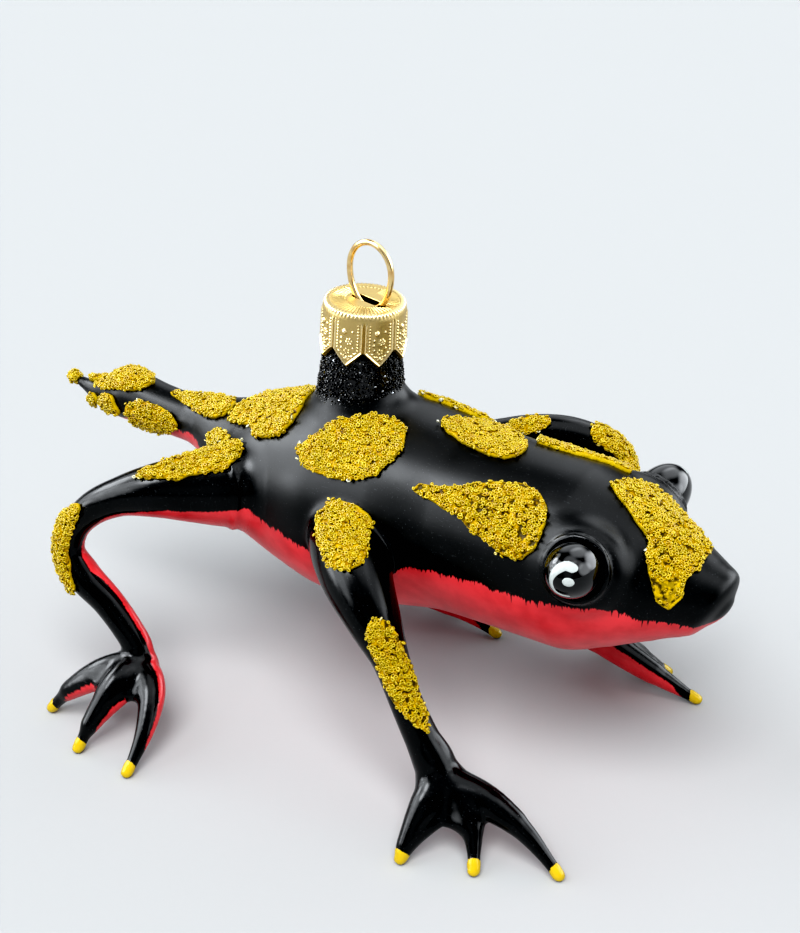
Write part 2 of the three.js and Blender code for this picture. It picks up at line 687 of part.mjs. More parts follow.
// A plate of glued grit that follows the glass. Its outline is drawn in distances along the tube
// and angles round it, closed by a smooth curve, and it is thickest inside its edge.
function gritPlate(tube, outline) {
  const edge = new THREE.CatmullRomCurve3(
    outline.map(([along, angle]) => new THREE.Vector3(along, angle, 0)), true);
  const rim = edge.getPoints(GRIT_POINTS).slice(0, GRIT_POINTS);
  if (THREE.ShapeUtils.area(rim) > 0) {
    rim.reverse();
  }
  const middle = rim.reduce((sum, point) => sum.add(point), new THREE.Vector3());
  middle.divideScalar(GRIT_POINTS);
  const layer = (share, height) => rim.map((point) => {
    const place = middle.clone().lerp(point, share);
    return tube.at(place.x, place.y, height);
  });
  const rings = [
    layer(0.5, GRIT_UNDER),
    layer(1, GRIT_UNDER),
    layer(1, GRIT_EDGE),
    layer(0.5, GRIT_TOP),
  ];
  const underside = tube.at(middle.x, middle.y, GRIT_UNDER);
  const crown = tube.at(middle.x, middle.y, GRIT_TOP);
  return skinOver(rings, underside, crown);
}

function gritBall([x, z, radius]) {
  const ball = new THREE.SphereGeometry(radius, 12, 8);
  return solidOf(ball.translate(x, 0, z));
}

// What stands out of the body, with a clearance round it, to trim the plates on the body.
const bodyNeighbours = [
  pikeGlass(GAP),
  eyeMound(1, GAP),
  eyeMound(-1, GAP),
  ...Object.values(LEGS).map((leg) => leg.tube.solid({
    from: 0, to: legLength(leg) * leg.split, step: 2.8, sides: LEG_SIDES, height: GAP,
  })),
];

// ---------------------------------------------------------------- assembly

addPiece('torso', torso(), 'black');
addPiece('head', head(), 'black');
addPiece('tail', tail(), 'black');
addPiece('eye_right', eye(-1), 'eye');
addPiece('eye_left', eye(1), 'eye');
for (const [name, leg] of Object.entries(LEGS)) {
  addPiece(`${name}_upper_leg`, upperLeg(leg), 'black');
  addPiece(`${name}_lower_leg`, lowerLeg(leg), 'black');
  addPiece(`${name}_foot`, foot(leg, FEET[name]), 'black');
}
for (const [name, outline] of Object.entries(BODY_GRIT)) {
  const plate = bodyNeighbours.reduce((rest, room) => rest.subtract(room), gritPlate(body, outline));
  addPiece(`grit_${name}`, plate, 'grit');
}
for (const [name, [leg, outline]] of Object.entries(LEG_GRIT)) {
  addPiece(`grit_${name}`, gritPlate(LEGS[leg].tube, outline).subtract(bodyRoom), 'grit');
}
addPiece('grit_tail_tip', gritBall(TAIL_TIP), 'grit');
addPiece('pike', pike(), 'glitter');
addPiece('cap', cap(), 'gold');
addPiece('hanging_ring', hangingRing(), 'wire');

// The origin goes to the centre of the footprint.
const box = new THREE.Box3().setFromObject(model);
const middle = box.getCenter(new THREE.Vector3());
model.position.set(-middle.x, -middle.y, 0);

export default model;
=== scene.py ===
"""A mouth-blown glass hanging ornament in the form of a fire salamander.

Lengths in the tables are millimetres, in the ornament's own axes: x towards the snout from the
foot of the pike, y to the animal's left, z up from the floor. HOME moves them into the frame.
"""

import math

import bmesh
import bpy
import numpy as np
from bpy.props import FloatProperty, FloatVectorProperty, IntProperty, PointerProperty
from bpy.types import Operator, Panel, PropertyGroup
from mathutils import Matrix, Vector, noise
from mathutils.bvhtree import BVHTree


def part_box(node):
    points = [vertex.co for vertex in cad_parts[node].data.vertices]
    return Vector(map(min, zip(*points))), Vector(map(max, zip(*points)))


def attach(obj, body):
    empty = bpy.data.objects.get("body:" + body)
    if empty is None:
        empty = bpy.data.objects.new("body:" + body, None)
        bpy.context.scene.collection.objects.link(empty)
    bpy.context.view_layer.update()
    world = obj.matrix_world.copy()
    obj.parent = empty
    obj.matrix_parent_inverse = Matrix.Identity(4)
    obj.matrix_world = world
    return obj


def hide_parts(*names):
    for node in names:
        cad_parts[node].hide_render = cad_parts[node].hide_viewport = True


bl_info = {
    "name": "Glass salamander ornament",
    "version": (1, 0, 0),
    "blender": (4, 5, 0),
    "location": "View3D > Sidebar > Ornament",
    "description": "Builds a blown-glass salamander ornament round its solid parts",
    "category": "Add Mesh",
}

MM = 0.001
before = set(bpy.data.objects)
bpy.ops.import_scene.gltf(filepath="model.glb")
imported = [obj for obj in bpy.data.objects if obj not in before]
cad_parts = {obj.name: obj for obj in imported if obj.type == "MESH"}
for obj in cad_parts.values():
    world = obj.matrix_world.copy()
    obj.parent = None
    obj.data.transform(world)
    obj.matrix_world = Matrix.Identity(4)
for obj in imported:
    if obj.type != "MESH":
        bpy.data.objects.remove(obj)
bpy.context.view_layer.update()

# The torso's rear face lies here in the ornament's own axes, which places them in the frame.
TORSO_REAR = -26.85
torso_low, torso_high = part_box("torso")
HOME = np.array([torso_low.x / MM - TORSO_REAR, (torso_low.y + torso_high.y) / 2 / MM, 0.0])

# ------------------------------------------------------------------ the glass body's sizes

# The blown barrel: x, height of the centre, half width, half height, forward lean in degrees.
BARREL = [
    (-57.2, 42.1, 0.9, 0.9, 0), (-56.2, 41.8, 1.1, 1.1, 0), (-53.5, 41.4, 2.1, 2.1, 0),
    (-50.0, 41.9, 3.3, 3.3, 0), (-46.0, 42.5, 4.1, 4.2, 0), (-40.0, 42.0, 3.9, 3.9, 0),
    (-34.0, 41.6, 3.8, 3.8, 0), (-30.0, 41.5, 4.7, 4.6, 0), (-25.0, 40.0, 7.6, 7.0, 0),
    (-19.0, 38.0, 11.3, 10.8, 0), (-10.0, 37.9, 14.2, 14.0, 0), (0.0, 38.3, 16.1, 16.4, 0),
    (10.0, 38.8, 15.8, 16.0, 0), (20.0, 39.2, 14.6, 14.5, 0), (30.0, 39.0, 14.2, 14.2, 0),
    (40.0, 38.8, 14.0, 14.0, 0), (48.0, 38.6, 11.6, 11.2, 4), (54.5, 38.3, 8.7, 8.3, 10),
    (58.8, 37.8, 6.5, 6.3, 18), (61.0, 37.2, 5.2, 5.2, 27), (61.9, 36.9, 3.9, 3.9, 30),
]
SNOUT_CROWN = 0.5  # how far the blunt snout bulges past its end section
SNOUT_EDGE = 2.4  # rounding where the snout's face meets its side
SNOUT_START = 45  # x from which the end of the snout has a say in the shape

# Legs: x, y, height and radius of the rod, from its root inside the body to the ankle.
LEGS = {
    "front_right": [
        (4, -8, 38, 6.6), (8, -14.5, 38, 6.3), (12.4, -19.3, 36, 5.3), (17.5, -22.4, 31.9, 4.0),
        (21.3, -23.6, 26.9, 2.75), (24.1, -24, 21.2, 2.45), (27.0, -24, 15.7, 2.6),
        (28.9, -23.9, 12.5, 3.1), (30.3, -23.9, 9.1, 3.25),
    ],
    "front_left": [
        (4, 6, 39, 6.2), (8, 12.4, 40.6, 5.4), (13, 17.6, 42.0, 4.2), (18.8, 21.7, 43.7, 3.5),
        (24.2, 24, 43.9, 3.3), (28.8, 25.4, 42.5, 3.0), (31.9, 26, 38.8, 2.75), (33.2, 26, 33, 2.6),
        (33.2, 25.4, 26, 2.45), (32, 24.4, 18, 2.3), (30, 23.3, 10, 2.3),
    ],
    "hind_right": [
        (-10.5, -4.5, 38.6, 6.7), (-16.2, -11, 39, 6.5), (-20.3, -15.2, 39.2, 5.4),
        (-25, -19, 39.2, 4.3), (-30.4, -22, 37.8, 3.1), (-35, -23.7, 35, 2.65), (-38.2, -24.6, 31, 2.3),
        (-39, -25, 27, 2.2), (-37.0, -24.85, 23.1, 2.75), (-31.9, -25.05, 19.8, 2.5),
        (-27.8, -25.4, 16.3, 2.4), (-25.9, -25.5, 13.7, 2.4), (-25.2, -25.8, 10.5, 2.4),
    ],
    "hind_left": [
        (-10.5, 4.5, 38.2, 6.6), (-16, 10.5, 38, 6.2), (-20.5, 15.5, 36.5, 5.1), (-26, 20, 33.4, 3.9),
        (-29.8, 22.8, 29, 3.0), (-30.4, 24, 24, 2.55), (-26.5, 23.8, 19, 2.55), (-20, 22.8, 14.6, 2.6),
        (-14, 21.6, 11, 2.45), (-9.5, 20.7, 8.4, 2.3),
    ],
}

# Toe tips on the floor, front to rear: x, y, sideways bow and upward arch. The webs run along
# each pair of toes by the shares given.
FEET = {
    "front_right": {
        "tips": [(51.2, -24, 0.3, 1.5), (40.3, -30.2, 1.6, 1.1), (29.4, -34.1, 0.3, 1.2)],
        "webs": [(0.6, 0.62), (0.66, 0.88)],
    },
    "front_left": {
        "tips": [(47.7, 28, -0.3, 0), (39.8, 33, -0.6, 0.15), (29.4, 34.2, 0.3, 0.4)],
        "webs": [(0.56, 0.56), (0.56, 0.56)],
    },
    "hind_right": {
        "tips": [(-17.2, -39.8, 2.8, 1), (-28.3, -39.1, 1, 1.5), (-39.8, -32.5, 1.2, 1.2)],
        "webs": [(0.36, 0.82), (0.55, 0.76)],
    },
    "hind_left": {
        "tips": [(10, 27.2, 1.1, 0.4), (3, 34.4, -0.5, 0.5), (-8, 35.4, 0.3, 0.5)],
        "webs": [(0.56, 0.56), (0.56, 0.56)],
    },
}
TOE_TIP_RADIUS = 0.8
TOE_TIP_HEIGHT = 0.75
TOE_RADII = [(0.2, 2.4), (0.42, 2.15), (0.7, 1.5), (0.9, 0.94)]
WEB_THICKNESS = 1.9
WEB_HOLLOW = 0.2  # how far a web's free edge is hollowed, as a share

SKIN_BOX = ((-60.0, -42.0, -0.9), (66.0, 38.0, 67.5))  # two corners round the whole body

# Fillets of melted glass where one part meets the rest.
PIKE_FILLET = 4.0
COLLAR_FILLET = 0.8
MOUND_FILLET = 2.8
LEG_FILLETS = {"front_right": 1.1, "front_left": 1.4, "hind_right": 2.8, "hind_left": 2.4}
TOE_FILLET = 1.3
WEB_FILLET = 1.8

# Weld beads round the hind legs: the distance along the leg, and the bead's size.
SEAMS = {"hind_right": 9.6, "hind_left": 9.6}
SEAM_SINK = 0.05
SEAM_THICKNESS = 0.42
SEAM_FILLET = 0.7

# Eyes: seat and axis of the left one, and the ring that it sits in.
EYE_SEAT = np.array([44.9, 11.9, 44.2])
EYE_AXIS = np.array([0.1, 0.94, 0.31])
EYE_RADIUS = 4.1
EYE_LENGTH = 7.0
EYE_FULLNESS = 0.86  # 1 for an ellipse, less for a fuller dome
EYE_FOOT = 0.8
EYE_ROOT = 1.5  # how far the eye reaches into the body
COLLAR_RADIUS = 4.5
COLLAR_SINK = -0.6
COLLAR_THICKNESS = 0.5
COLLAR_SHEEN = 0.8  # how far the ring's polish runs out over the body
MOUND_RADIUS = 4.3
MOUND_SINK = 1.9
MOUND_THICKNESS = 1.8

# The pike, along its own leaning axis from its foot.
PIKE_FOOT_HEIGHT = 54
PIKE_LEAN = 3.5
PIKE_NECK = [(-6, 7.4), (0.0, 6.72), (2.0, 6.4), (7.5, 5.75), (12.0, 5.2)]
GLITTER_LOW = 0.7
GLITTER_TOP = 9.4
GLITTER_RAGGED = 0.55  # how uneven the band's lower edge is
GLITTER_GLUE = 0.12
GLITTER_GRAINS = {"Spacing": 0.26 * MM, "Lift": 0.16 * MM, "Tilt": 3.0, "Seed": 5}

# ------------------------------------------------------------------ small tools


def spline(points, shares):
    """Places at shares of 0 to 1 on a centripetal Catmull-Rom curve through the points."""
    points = np.asarray(points, float)
    points = np.vstack([2 * points[0] - points[1], points, 2 * points[-1] - points[-2]])
    spans = len(points) - 3
    position = np.clip(np.asarray(shares, float), 0, 1) * spans
    index = np.minimum(position.astype(int), spans - 1)
    t = (position - index)[:, None]
    p0, p1, p2, p3 = (points[index + k] for k in range(4))

    def gap(a, b):
        return np.sum((b - a) ** 2, axis=1)[:, None] ** 0.25

    middle = gap(p1, p2)
    middle[middle < 1e-4] = 1.0
    before, after = gap(p0, p1), gap(p2, p3)
    before = np.where(before < 1e-4, middle, before)
    after = np.where(after < 1e-4, middle, after)
    start = ((p1 - p0) / before - (p2 - p0) / (before + middle) + (p2 - p1) / middle) * middle
    end = ((p2 - p1) / middle - (p3 - p1) / (middle + after) + (p3 - p2) / after) * middle
    return (
        p1
        + start * t
        + (-3 * p1 + 3 * p2 - 2 * start - end) * t**2
        + (2 * p1 - 2 * p2 + start + end) * t**3
    )


def unit(vector):
    vector = np.asarray(vector, float)
    return vector / np.linalg.norm(vector)


def round_union(a, b, fillet):
    """The smaller of two distances, with a fillet where they meet."""
    near = np.maximum(fillet - np.abs(a - b), 0) / fillet
    return np.minimum(a, b) - near * near * fillet / 4


def new_mesh(name, points, faces):
    """A smooth mesh from points in the ornament's own millimetres."""
    mesh = bpy.data.meshes.new(name)
    places = (np.asarray(points, float) + HOME) * MM
    mesh.from_pydata(places.tolist(), [], [list(map(int, face)) for face in faces])
    mesh.validate()
    mesh.shade_smooth()
    return mesh


def new_piece(name, mesh, materials=(), replaced=()):
    """An object of the ornament that shows the mesh and stands for solid nodes."""
    old = bpy.data.objects.get(name)
    if old is not None:
        bpy.data.objects.remove(old)
    piece = bpy.data.objects.new(name, mesh)
    bpy.context.scene.collection.objects.link(piece)
    for material in materials:
        mesh.materials.append(material)
    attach(piece, "root")
    if replaced:
        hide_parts(*replaced)
    return piece


def store(mesh, name, values):
    attribute = mesh.attributes.new(name, "FLOAT", "POINT")
    attribute.data.foreach_set("value", np.asarray(values, np.float32))


def circle(centre, across, up, radius, sides):
    """Places round a circle that two unit vectors span."""
    turns = np.linspace(0, 2 * math.pi, sides, endpoint=False)[:, None]
    return centre + radius * (across * np.cos(turns) + up * np.sin(turns))


def swept(rings):
    """Points and faces of a skin over rings of equally many points, its ends drawn to a pole."""
    rings = [np.asarray(ring, float) for ring in rings]
    sides = len(rings[0])
    around = [(side, (side + 1) % sides) for side in range(sides)]
    points = [point for ring in rings for point in ring]
    faces = []
    for low in range(0, len(points) - sides, sides):
        faces += [(low + side, low + after, low + sides + after, low + sides + side)
                  for side, after in around]
    top, first = len(points) - sides, len(points)
    for side, after in around:
        faces += [(first, after, side), (first + 1, top + side, top + after)]
    return points + [rings[0].mean(0), rings[-1].mean(0)], faces


def evaluated_mesh(holder):
    """The plain mesh that an object's modifiers make. The object itself is removed."""
    graph = bpy.context.evaluated_depsgraph_get()
    mesh = bpy.data.meshes.new_from_object(holder.evaluated_get(graph))
    bpy.data.objects.remove(holder)
    return mesh


def holder_of(mesh):
    holder = bpy.data.objects.new(mesh.name + "_holder", mesh)
    bpy.context.scene.collection.objects.link(holder)
    return holder


# ------------------------------------------------------------------ parts of the glass


def dot(dx, dy, dz, way):
    return dx * way[0] + dy * way[1] + dz * way[2]


def off_line(x, y, z, start, step):
    """How far along a line points lie beside it, as a share of it, and the way out to them."""
    dx, dy, dz = x - start[0], y - start[1], z - start[2]
    share = np.clip(dot(dx, dy, dz, step) / (step @ step), 0, 1)
    return share, (dx - share * step[0], dy - share * step[1], dz - share * step[2])


class Rod:
    """A drawn rod through stations of x, y, z and radius."""

    def __init__(self, stations, pieces):
        stations = np.array(stations, float)
        shares = np.linspace(0, 1, pieces + 1)
        radius = stations[:, 3]
        self.points = spline(stations[:, :3], shares)
        self.radii = spline(np.column_stack([radius, radius, 0 * radius]), shares)[:, 0]
        steps = np.linalg.norm(np.diff(stations[:, :3], axis=0), axis=1)
        keys = np.concatenate([[0], np.cumsum(steps)])
        self.along = np.interp(shares * (len(keys) - 1), np.arange(len(keys)), keys)

    def box(self, margin):
        reach = self.radii.max() + margin
        return self.points.min(0) - reach, self.points.max(0) + reach

    def segment(self, i, x, y, z):
        """Distance off one stretch, the share along it, and the way there from its axis."""
        share, way = off_line(x, y, z, self.points[i], self.points[i + 1] - self.points[i])
        radius = self.radii[i] + share * (self.radii[i + 1] - self.radii[i])
        return np.sqrt(dot(*way, way)) - radius, share, way

    def distance(self, x, y, z):
        best = self.segment(0, x, y, z)[0]
        for i in range(1, len(self.points) - 1):
            best = np.minimum(best, self.segment(i, x, y, z)[0])
        return best

    def place(self, points):
        """For each point: distance off the rod, how far along, and the direction out of it."""
        x, y, z = points.T
        best = np.full(len(points), np.inf)
        along = np.zeros(len(points))
        out = np.zeros((len(points), 3))
        for i in range(len(self.points) - 1):
            off, share, way = self.segment(i, x, y, z)
            closer = off < best
            best[closer] = off[closer]
            along[closer] = self.along[i] + share[closer] * (self.along[i + 1] - self.along[i])
            out[closer] = np.column_stack(way)[closer]
        out /= np.maximum(np.linalg.norm(out, axis=1), 1e-9)[:, None]
        return best, along, out


class Barrel:
    """The blown body from the tail's tip to the snout."""

    def __init__(self, stations, pieces=420):
        table = np.array(stations, float)
        shares = np.linspace(0, 1, pieces)
        centres = spline(np.column_stack([table[:, 0], 0 * table[:, 0], table[:, 1]]), shares)
        sizes = spline(table[:, 2:5], shares)
        self.x, self.z = centres[:, 0], centres[:, 2]
        self.half_width, self.half_height, self.lean = sizes.T
        self.slope = np.gradient(self.half_height, self.x)

    def box(self, margin):
        reach = self.half_width.max() + margin
        return (
            np.array([self.x[0] - margin - 2, -reach, self.z.min() - reach]),
            np.array([self.x[-1] + margin + 4, reach, self.z.max() + reach]),
        )

    def section(self, x, z):
        """Where the leaning section through a point meets the axis, and its height there."""
        u = np.clip(x, self.x[0], self.x[-1])
        for _ in range(3):
            lean = np.radians(np.interp(u, self.x, self.lean))
            u = np.clip(x - np.tan(lean) * (z - np.interp(u, self.x, self.z)), self.x[0], self.x[-1])
        lean = np.radians(np.interp(u, self.x, self.lean))
        return u, (z - np.interp(u, self.x, self.z)) / np.cos(lean)

    def distance(self, x, y, z):
        u, rise = self.section(x + 0 * z, z + 0 * x)
        width = np.interp(u, self.x, self.half_width)
        height = np.interp(u, self.x, self.half_height)
        steep = np.sqrt(1 + np.interp(u, self.x, self.slope) ** 2)
        out = np.sqrt((y / width) ** 2 + (rise / height) ** 2)
        side = (out - 1) * np.minimum(width, height) / steep
        lean = math.radians(self.lean[-1])
        ahead = (x - self.x[-1]) * math.cos(lean) - (z - self.z[-1]) * math.sin(lean)
        face = ahead - SNOUT_CROWN * (1.5 - np.minimum(out, 1.5) ** 2)
        snout = -round_union(-side, -face, SNOUT_EDGE)
        tail = np.sqrt((x - self.x[0]) ** 2 + y * y + (z - self.z[0]) ** 2) - self.half_width[0]
        return np.where(x < self.x[0], tail, np.where(x > SNOUT_START, snout, side))

    def place(self, points):
        """For each point: distance off the barrel, x of its section, degrees from the ridge."""
        x, y, z = points.T
        u, rise = self.section(x, z)
        width = np.interp(u, self.x, self.half_width)
        height = np.interp(u, self.x, self.half_height)
        turn = np.degrees(np.arctan2(-y / width, rise / height))
        off = (np.hypot(y / width, rise / height) - 1) * width
        return off, u, turn, width


class Collar:
    """A ring of glass round a seat."""

    def __init__(self, seat, axis, radius, thickness):
        self.seat, self.axis = np.array(seat, float), unit(axis)
        self.radius, self.thickness = radius, thickness

    def box(self, margin):
        reach = self.radius + self.thickness + margin
        return self.seat - reach, self.seat + reach

    def distance(self, x, y, z):
        dx, dy, dz = x - self.seat[0], y - self.seat[1], z - self.seat[2]
        rise = dot(dx, dy, dz, self.axis)
        out = np.sqrt(np.maximum(dx * dx + dy * dy + dz * dz - rise * rise, 0))
        return np.sqrt((out - self.radius) ** 2 + rise * rise) - self.thickness


def seam_at(rod, along):
    """A thin weld bead round a rod."""
    centre = np.array([np.interp(along, rod.along, rod.points[:, k]) for k in range(3)])
    ahead = np.array([np.interp(along + 1, rod.along, rod.points[:, k]) for k in range(3)]) - centre
    radius = np.interp(along, rod.along, rod.radii)
    return Collar(centre, ahead, radius - SEAM_SINK, SEAM_THICKNESS)


class Sheet:
    """A web of glass: triangles with a rounded thickness."""

    def __init__(self, triangles, thickness):
        self.triangles = [np.array(triangle, float) for triangle in triangles]
        self.thickness = thickness

    def box(self, margin):
        corners = np.vstack(self.triangles)
        return corners.min(0) - margin, corners.max(0) + margin

    def distance(self, x, y, z):
        best = np.inf
        for corners in self.triangles:
            best = np.minimum(best, triangle_distance(x, y, z, corners))
        return best - self.thickness / 2


def triangle_distance(x, y, z, corners):
    """Distance from points to a triangle."""
    a, b, c = corners
    normal = unit(np.cross(b - a, c - a))
    edge, inside = np.inf, True
    for start, end in ((a, b), (b, c), (c, a)):
        _, way = off_line(x, y, z, start, end - start)
        edge = np.minimum(edge, dot(*way, way))
        inward = np.cross(normal, end - start)
        inside = inside & (dot(x - start[0], y - start[1], z - start[2], inward) >= 0)
    height = dot(x - a[0], y - a[1], z - a[2], normal)
    return np.where(inside, np.abs(height), np.sqrt(edge))


class Glass:
    """The whole fused body: parts joined one after another, each with its own fillet."""

    MARGIN = 3.5
    FAR = 9.0

    def __init__(self):
        self.parts = []

    def join(self, part, fillet):
        self.parts.append((part, fillet, *part.box(self.MARGIN)))

    def distance(self, points):
        x, y, z = points.T
        value = np.full(len(points), self.FAR)
        for part, fillet, low, high in self.parts:
            near = np.all((points > low) & (points < high), axis=1)
            off = part.distance(x[near], y[near], z[near])
            value[near] = round_union(value[near], off, fillet)
        return np.maximum(value, -z)

    def slope(self, points, nudge=0.02):
        """The distance at each point, and how it grows along the three axes."""
        value = self.distance(points)
        ahead = [self.distance(points + nudge * axis) for axis in np.eye(3)]
        return value, (np.column_stack(ahead) - value[:, None]) / nudge

    def grid(self, low, high, step):
        """Distances on a grid of points between two corners."""
        axes = [np.arange(low[k], high[k], step) for k in range(3)]
        value = np.full([len(axis) for axis in axes], self.FAR, np.float32)
        for part, fillet, part_low, part_high in self.parts:
            spans = tuple(
                slice(np.searchsorted(axes[k], part_low[k], "right"),
                      np.searchsorted(axes[k], part_high[k], "left"))
                for k in range(3))
            x, y, z = np.ix_(*(axis[span] for axis, span in zip(axes, spans)))
            value[spans] = round_union(value[spans], part.distance(x, y, z), fillet)
        return np.maximum(value, -axes[2][None, None, :])


def zero_surface(value, low, step):
    """Points and four-sided faces of the surface where a grid of distances changes sign."""
    inside = value < 0
    size = [n - 1 for n in value.shape]
    count = np.zeros(size, np.int8)
    for corner in np.ndindex(2, 2, 2):
        count += inside[tuple(slice(o, o + n) for o, n in zip(corner, size))]
    mixed = (count > 0) & (count < 8)
    cells = np.argwhere(mixed)
    number = np.full(mixed.shape, -1, np.int64)
    number[mixed] = np.arange(len(cells))
    total = np.zeros((len(cells), 3))
    hits = np.zeros(len(cells))
    faces = []
    for axis in range(3):
        ahead, second, third = np.roll(np.eye(3, dtype=int), -axis, axis=0)
        for offset in (0 * ahead, second, third, second + third):
            start = cells + offset
            a = value[tuple(start.T)]
            b = value[tuple((start + ahead).T)]
            crossing = (a < 0) != (b < 0)
            share = a[crossing] / (a[crossing] - b[crossing])
            total[crossing] += start[crossing] + share[:, None] * ahead
            hits += crossing
        lower, upper = [slice(1, -1)] * 3, [slice(1, -1)] * 3
        lower[axis], upper[axis] = slice(0, -1), slice(1, None)
        edges = np.argwhere(inside[tuple(lower)] != inside[tuple(upper)]) + (second + third)
        around = [edges, edges - second, edges - second - third, edges - third]
        quads = np.column_stack([number[tuple(cell.T)] for cell in around])
        outward = inside[tuple(edges.T)]
        quads[~outward] = quads[~outward][:, ::-1]
        faces.append(quads)
    return np.array(low) + step * total / hits[:, None], np.vstack(faces)


def eye_frame(side):
    """Seat, axis, sideways to the snout and up on an eye: side is 1 for the left, -1 the right."""
    seat, axis = EYE_SEAT * (1, side, 1), unit(EYE_AXIS * (1, side, 1))
    upward = unit(np.array([0, 0, 1.0]) - axis * axis[2])
    return seat, axis, np.cross(upward, axis) * -side, upward


def eye_collar(side):
    seat, axis = eye_frame(side)[:2]
    return Collar(seat - axis * COLLAR_SINK, axis, COLLAR_RADIUS, COLLAR_THICKNESS)


PIKE_AXIS = np.array([math.sin(math.radians(PIKE_LEAN)), 0, math.cos(math.radians(PIKE_LEAN))])
PIKE_SIDE = np.array([math.cos(math.radians(PIKE_LEAN)), 0, -math.sin(math.radians(PIKE_LEAN))])
PIKE_FOOT = np.array([0, 0, PIKE_FOOT_HEIGHT])
ACROSS = np.array([0.0, 1.0, 0.0])


def on_pike(radius, turn, height):
    """A place round the pike's axis: turn is in radians from its forward side."""
    way = PIKE_SIDE * math.cos(turn) + ACROSS * math.sin(turn)
    return PIKE_FOOT + PIKE_AXIS * height + way * radius


def toe_point(ankle, tip, share):
    x, y, bow, arch = tip
    ahead = np.array([x, y]) - ankle[:2]
    sideways = unit([-ahead[1], ahead[0]]) * 4 * bow * share * (1 - share)
    rise = (ankle[2] - TOE_TIP_HEIGHT) * (1 - share) * (1 + arch * share)
    return np.array([*(ankle[:2] + ahead * share + sideways), TOE_TIP_HEIGHT + rise])


def toe_tips(name):
    """The toes' tips, drawn in so that their round ends reach the places in the table."""
    ankle = np.array(LEGS[name][-1][:3], float)
    tips = []
    for x, y, *bend in FEET[name]["tips"]:
        inward = unit(ankle[:2] - (x, y)) * TOE_TIP_RADIUS * 0.8
        tips.append((x + inward[0], y + inward[1], *bend))
    return ankle, tips


def toe_rods(name):
    ankle, tips = toe_tips(name)
    ankle_radius = LEGS[name][-1][3]
    radii = [(0, ankle_radius * 0.92), *TOE_RADII, (1, TOE_TIP_RADIUS)]
    return [
        Rod([(*toe_point(ankle, tip, share), radius) for share, radius in radii], 24)
        for tip in tips
    ]


def web_sheet(ankle, first, second, reaches, rows=4):
    """The web between two toes, its free edge hollowed towards the ankle."""
    def pair(share):
        return [toe_point(ankle, toe, reach * share) for toe, reach in zip((first, second), reaches)]

    lines = []
    for share in np.arange(rows + 1) / rows:
        a, b = pair(share)
        lines.append((a, sum(pair(share * (1 - WEB_HOLLOW * share))) / 2, b))
    triangles = []
    for (a0, m0, b0), (a1, m1, b1) in zip(lines, lines[1:]):
        for p, q, r, s in ((a0, m0, m1, a1), (m0, b0, b1, m1)):
            triangles += [corners for corners in ((p, q, r), (p, r, s))
                          if np.linalg.norm(np.cross(corners[1] - p, corners[2] - p)) > 1e-6]
    return Sheet(triangles, WEB_THICKNESS)


def fused_glass():
    """The glass body and, for its paint, the rods by name."""
    glass = Glass()
    barrel = Barrel(BARREL)
    glass.join(barrel, 1.0)
    neck = Rod([(*(PIKE_FOOT + PIKE_AXIS * height), radius) for height, radius in PIKE_NECK], 10)
    glass.join(neck, PIKE_FILLET)
    for side in (1, -1):
        seat, axis = eye_frame(side)[:2]
        mound = Collar(seat - axis * MOUND_SINK, axis, MOUND_RADIUS, MOUND_THICKNESS)
        glass.join(mound, MOUND_FILLET)
        glass.join(eye_collar(side), COLLAR_FILLET)
    legs, toes = {}, {}
    for name, stations in LEGS.items():
        legs[name] = Rod(stations, 120)
        glass.join(legs[name], LEG_FILLETS[name])
    for name, along in SEAMS.items():
        glass.join(seam_at(legs[name], along), SEAM_FILLET)
    for name in LEGS:
        ankle, tips = toe_tips(name)
        toes[name] = toe_rods(name)
        for rod in toes[name]:
            glass.join(rod, TOE_FILLET)
        for i, reaches in enumerate(FEET[name]["webs"]):
            glass.join(web_sheet(ankle, tips[i], tips[i + 1], reaches), WEB_FILLET)
    return glass, barrel, neck, legs, toes


def glass_skin(glass, step):
    """The surface of the glass, each point drawn onto the exact zero of the distance."""
    points, faces = zero_surface(glass.grid(*SKIN_BOX, step), SKIN_BOX[0], step)
    for _ in range(2):
        value, slope = glass.slope(points)
        steep = np.maximum(np.sum(slope * slope, axis=1), 0.25)
        points = points - slope * np.clip(value / steep, -step / 2, step / 2)[:, None]
    return points, faces


def toe_drops(points, toes):
    """How far each point lies inside the drop of paint on a toe's tip."""
    inside = np.full(len(points), -9.0)
    for group in toes.values():
        for rod in group:
            tip, back = rod.points[-1], unit(rod.points[-3] - rod.points[-1])
            spot = tip + back * NAIL_BACK + np.array([0, 0, NAIL_UP])
            inside = np.maximum(inside, NAIL_RADIUS - np.linalg.norm(points - spot, axis=1))
    return inside


# ------------------------------------------------------------------ paint on the glass

# The black coat ends this many degrees down from the ridge, by x along the barrel.
COAT_EDGE = [
    (-58, 130), (-40, 125), (-35, 92), (-28, 82), (-20, 87), (-12, 90), (-5, 94), (2, 100), (10, 100),
    (17, 98), (24, 93), (38, 92), (44, 89), (49, 86), (52, 90), (55, 97), (59, 96), (62, 101),
]

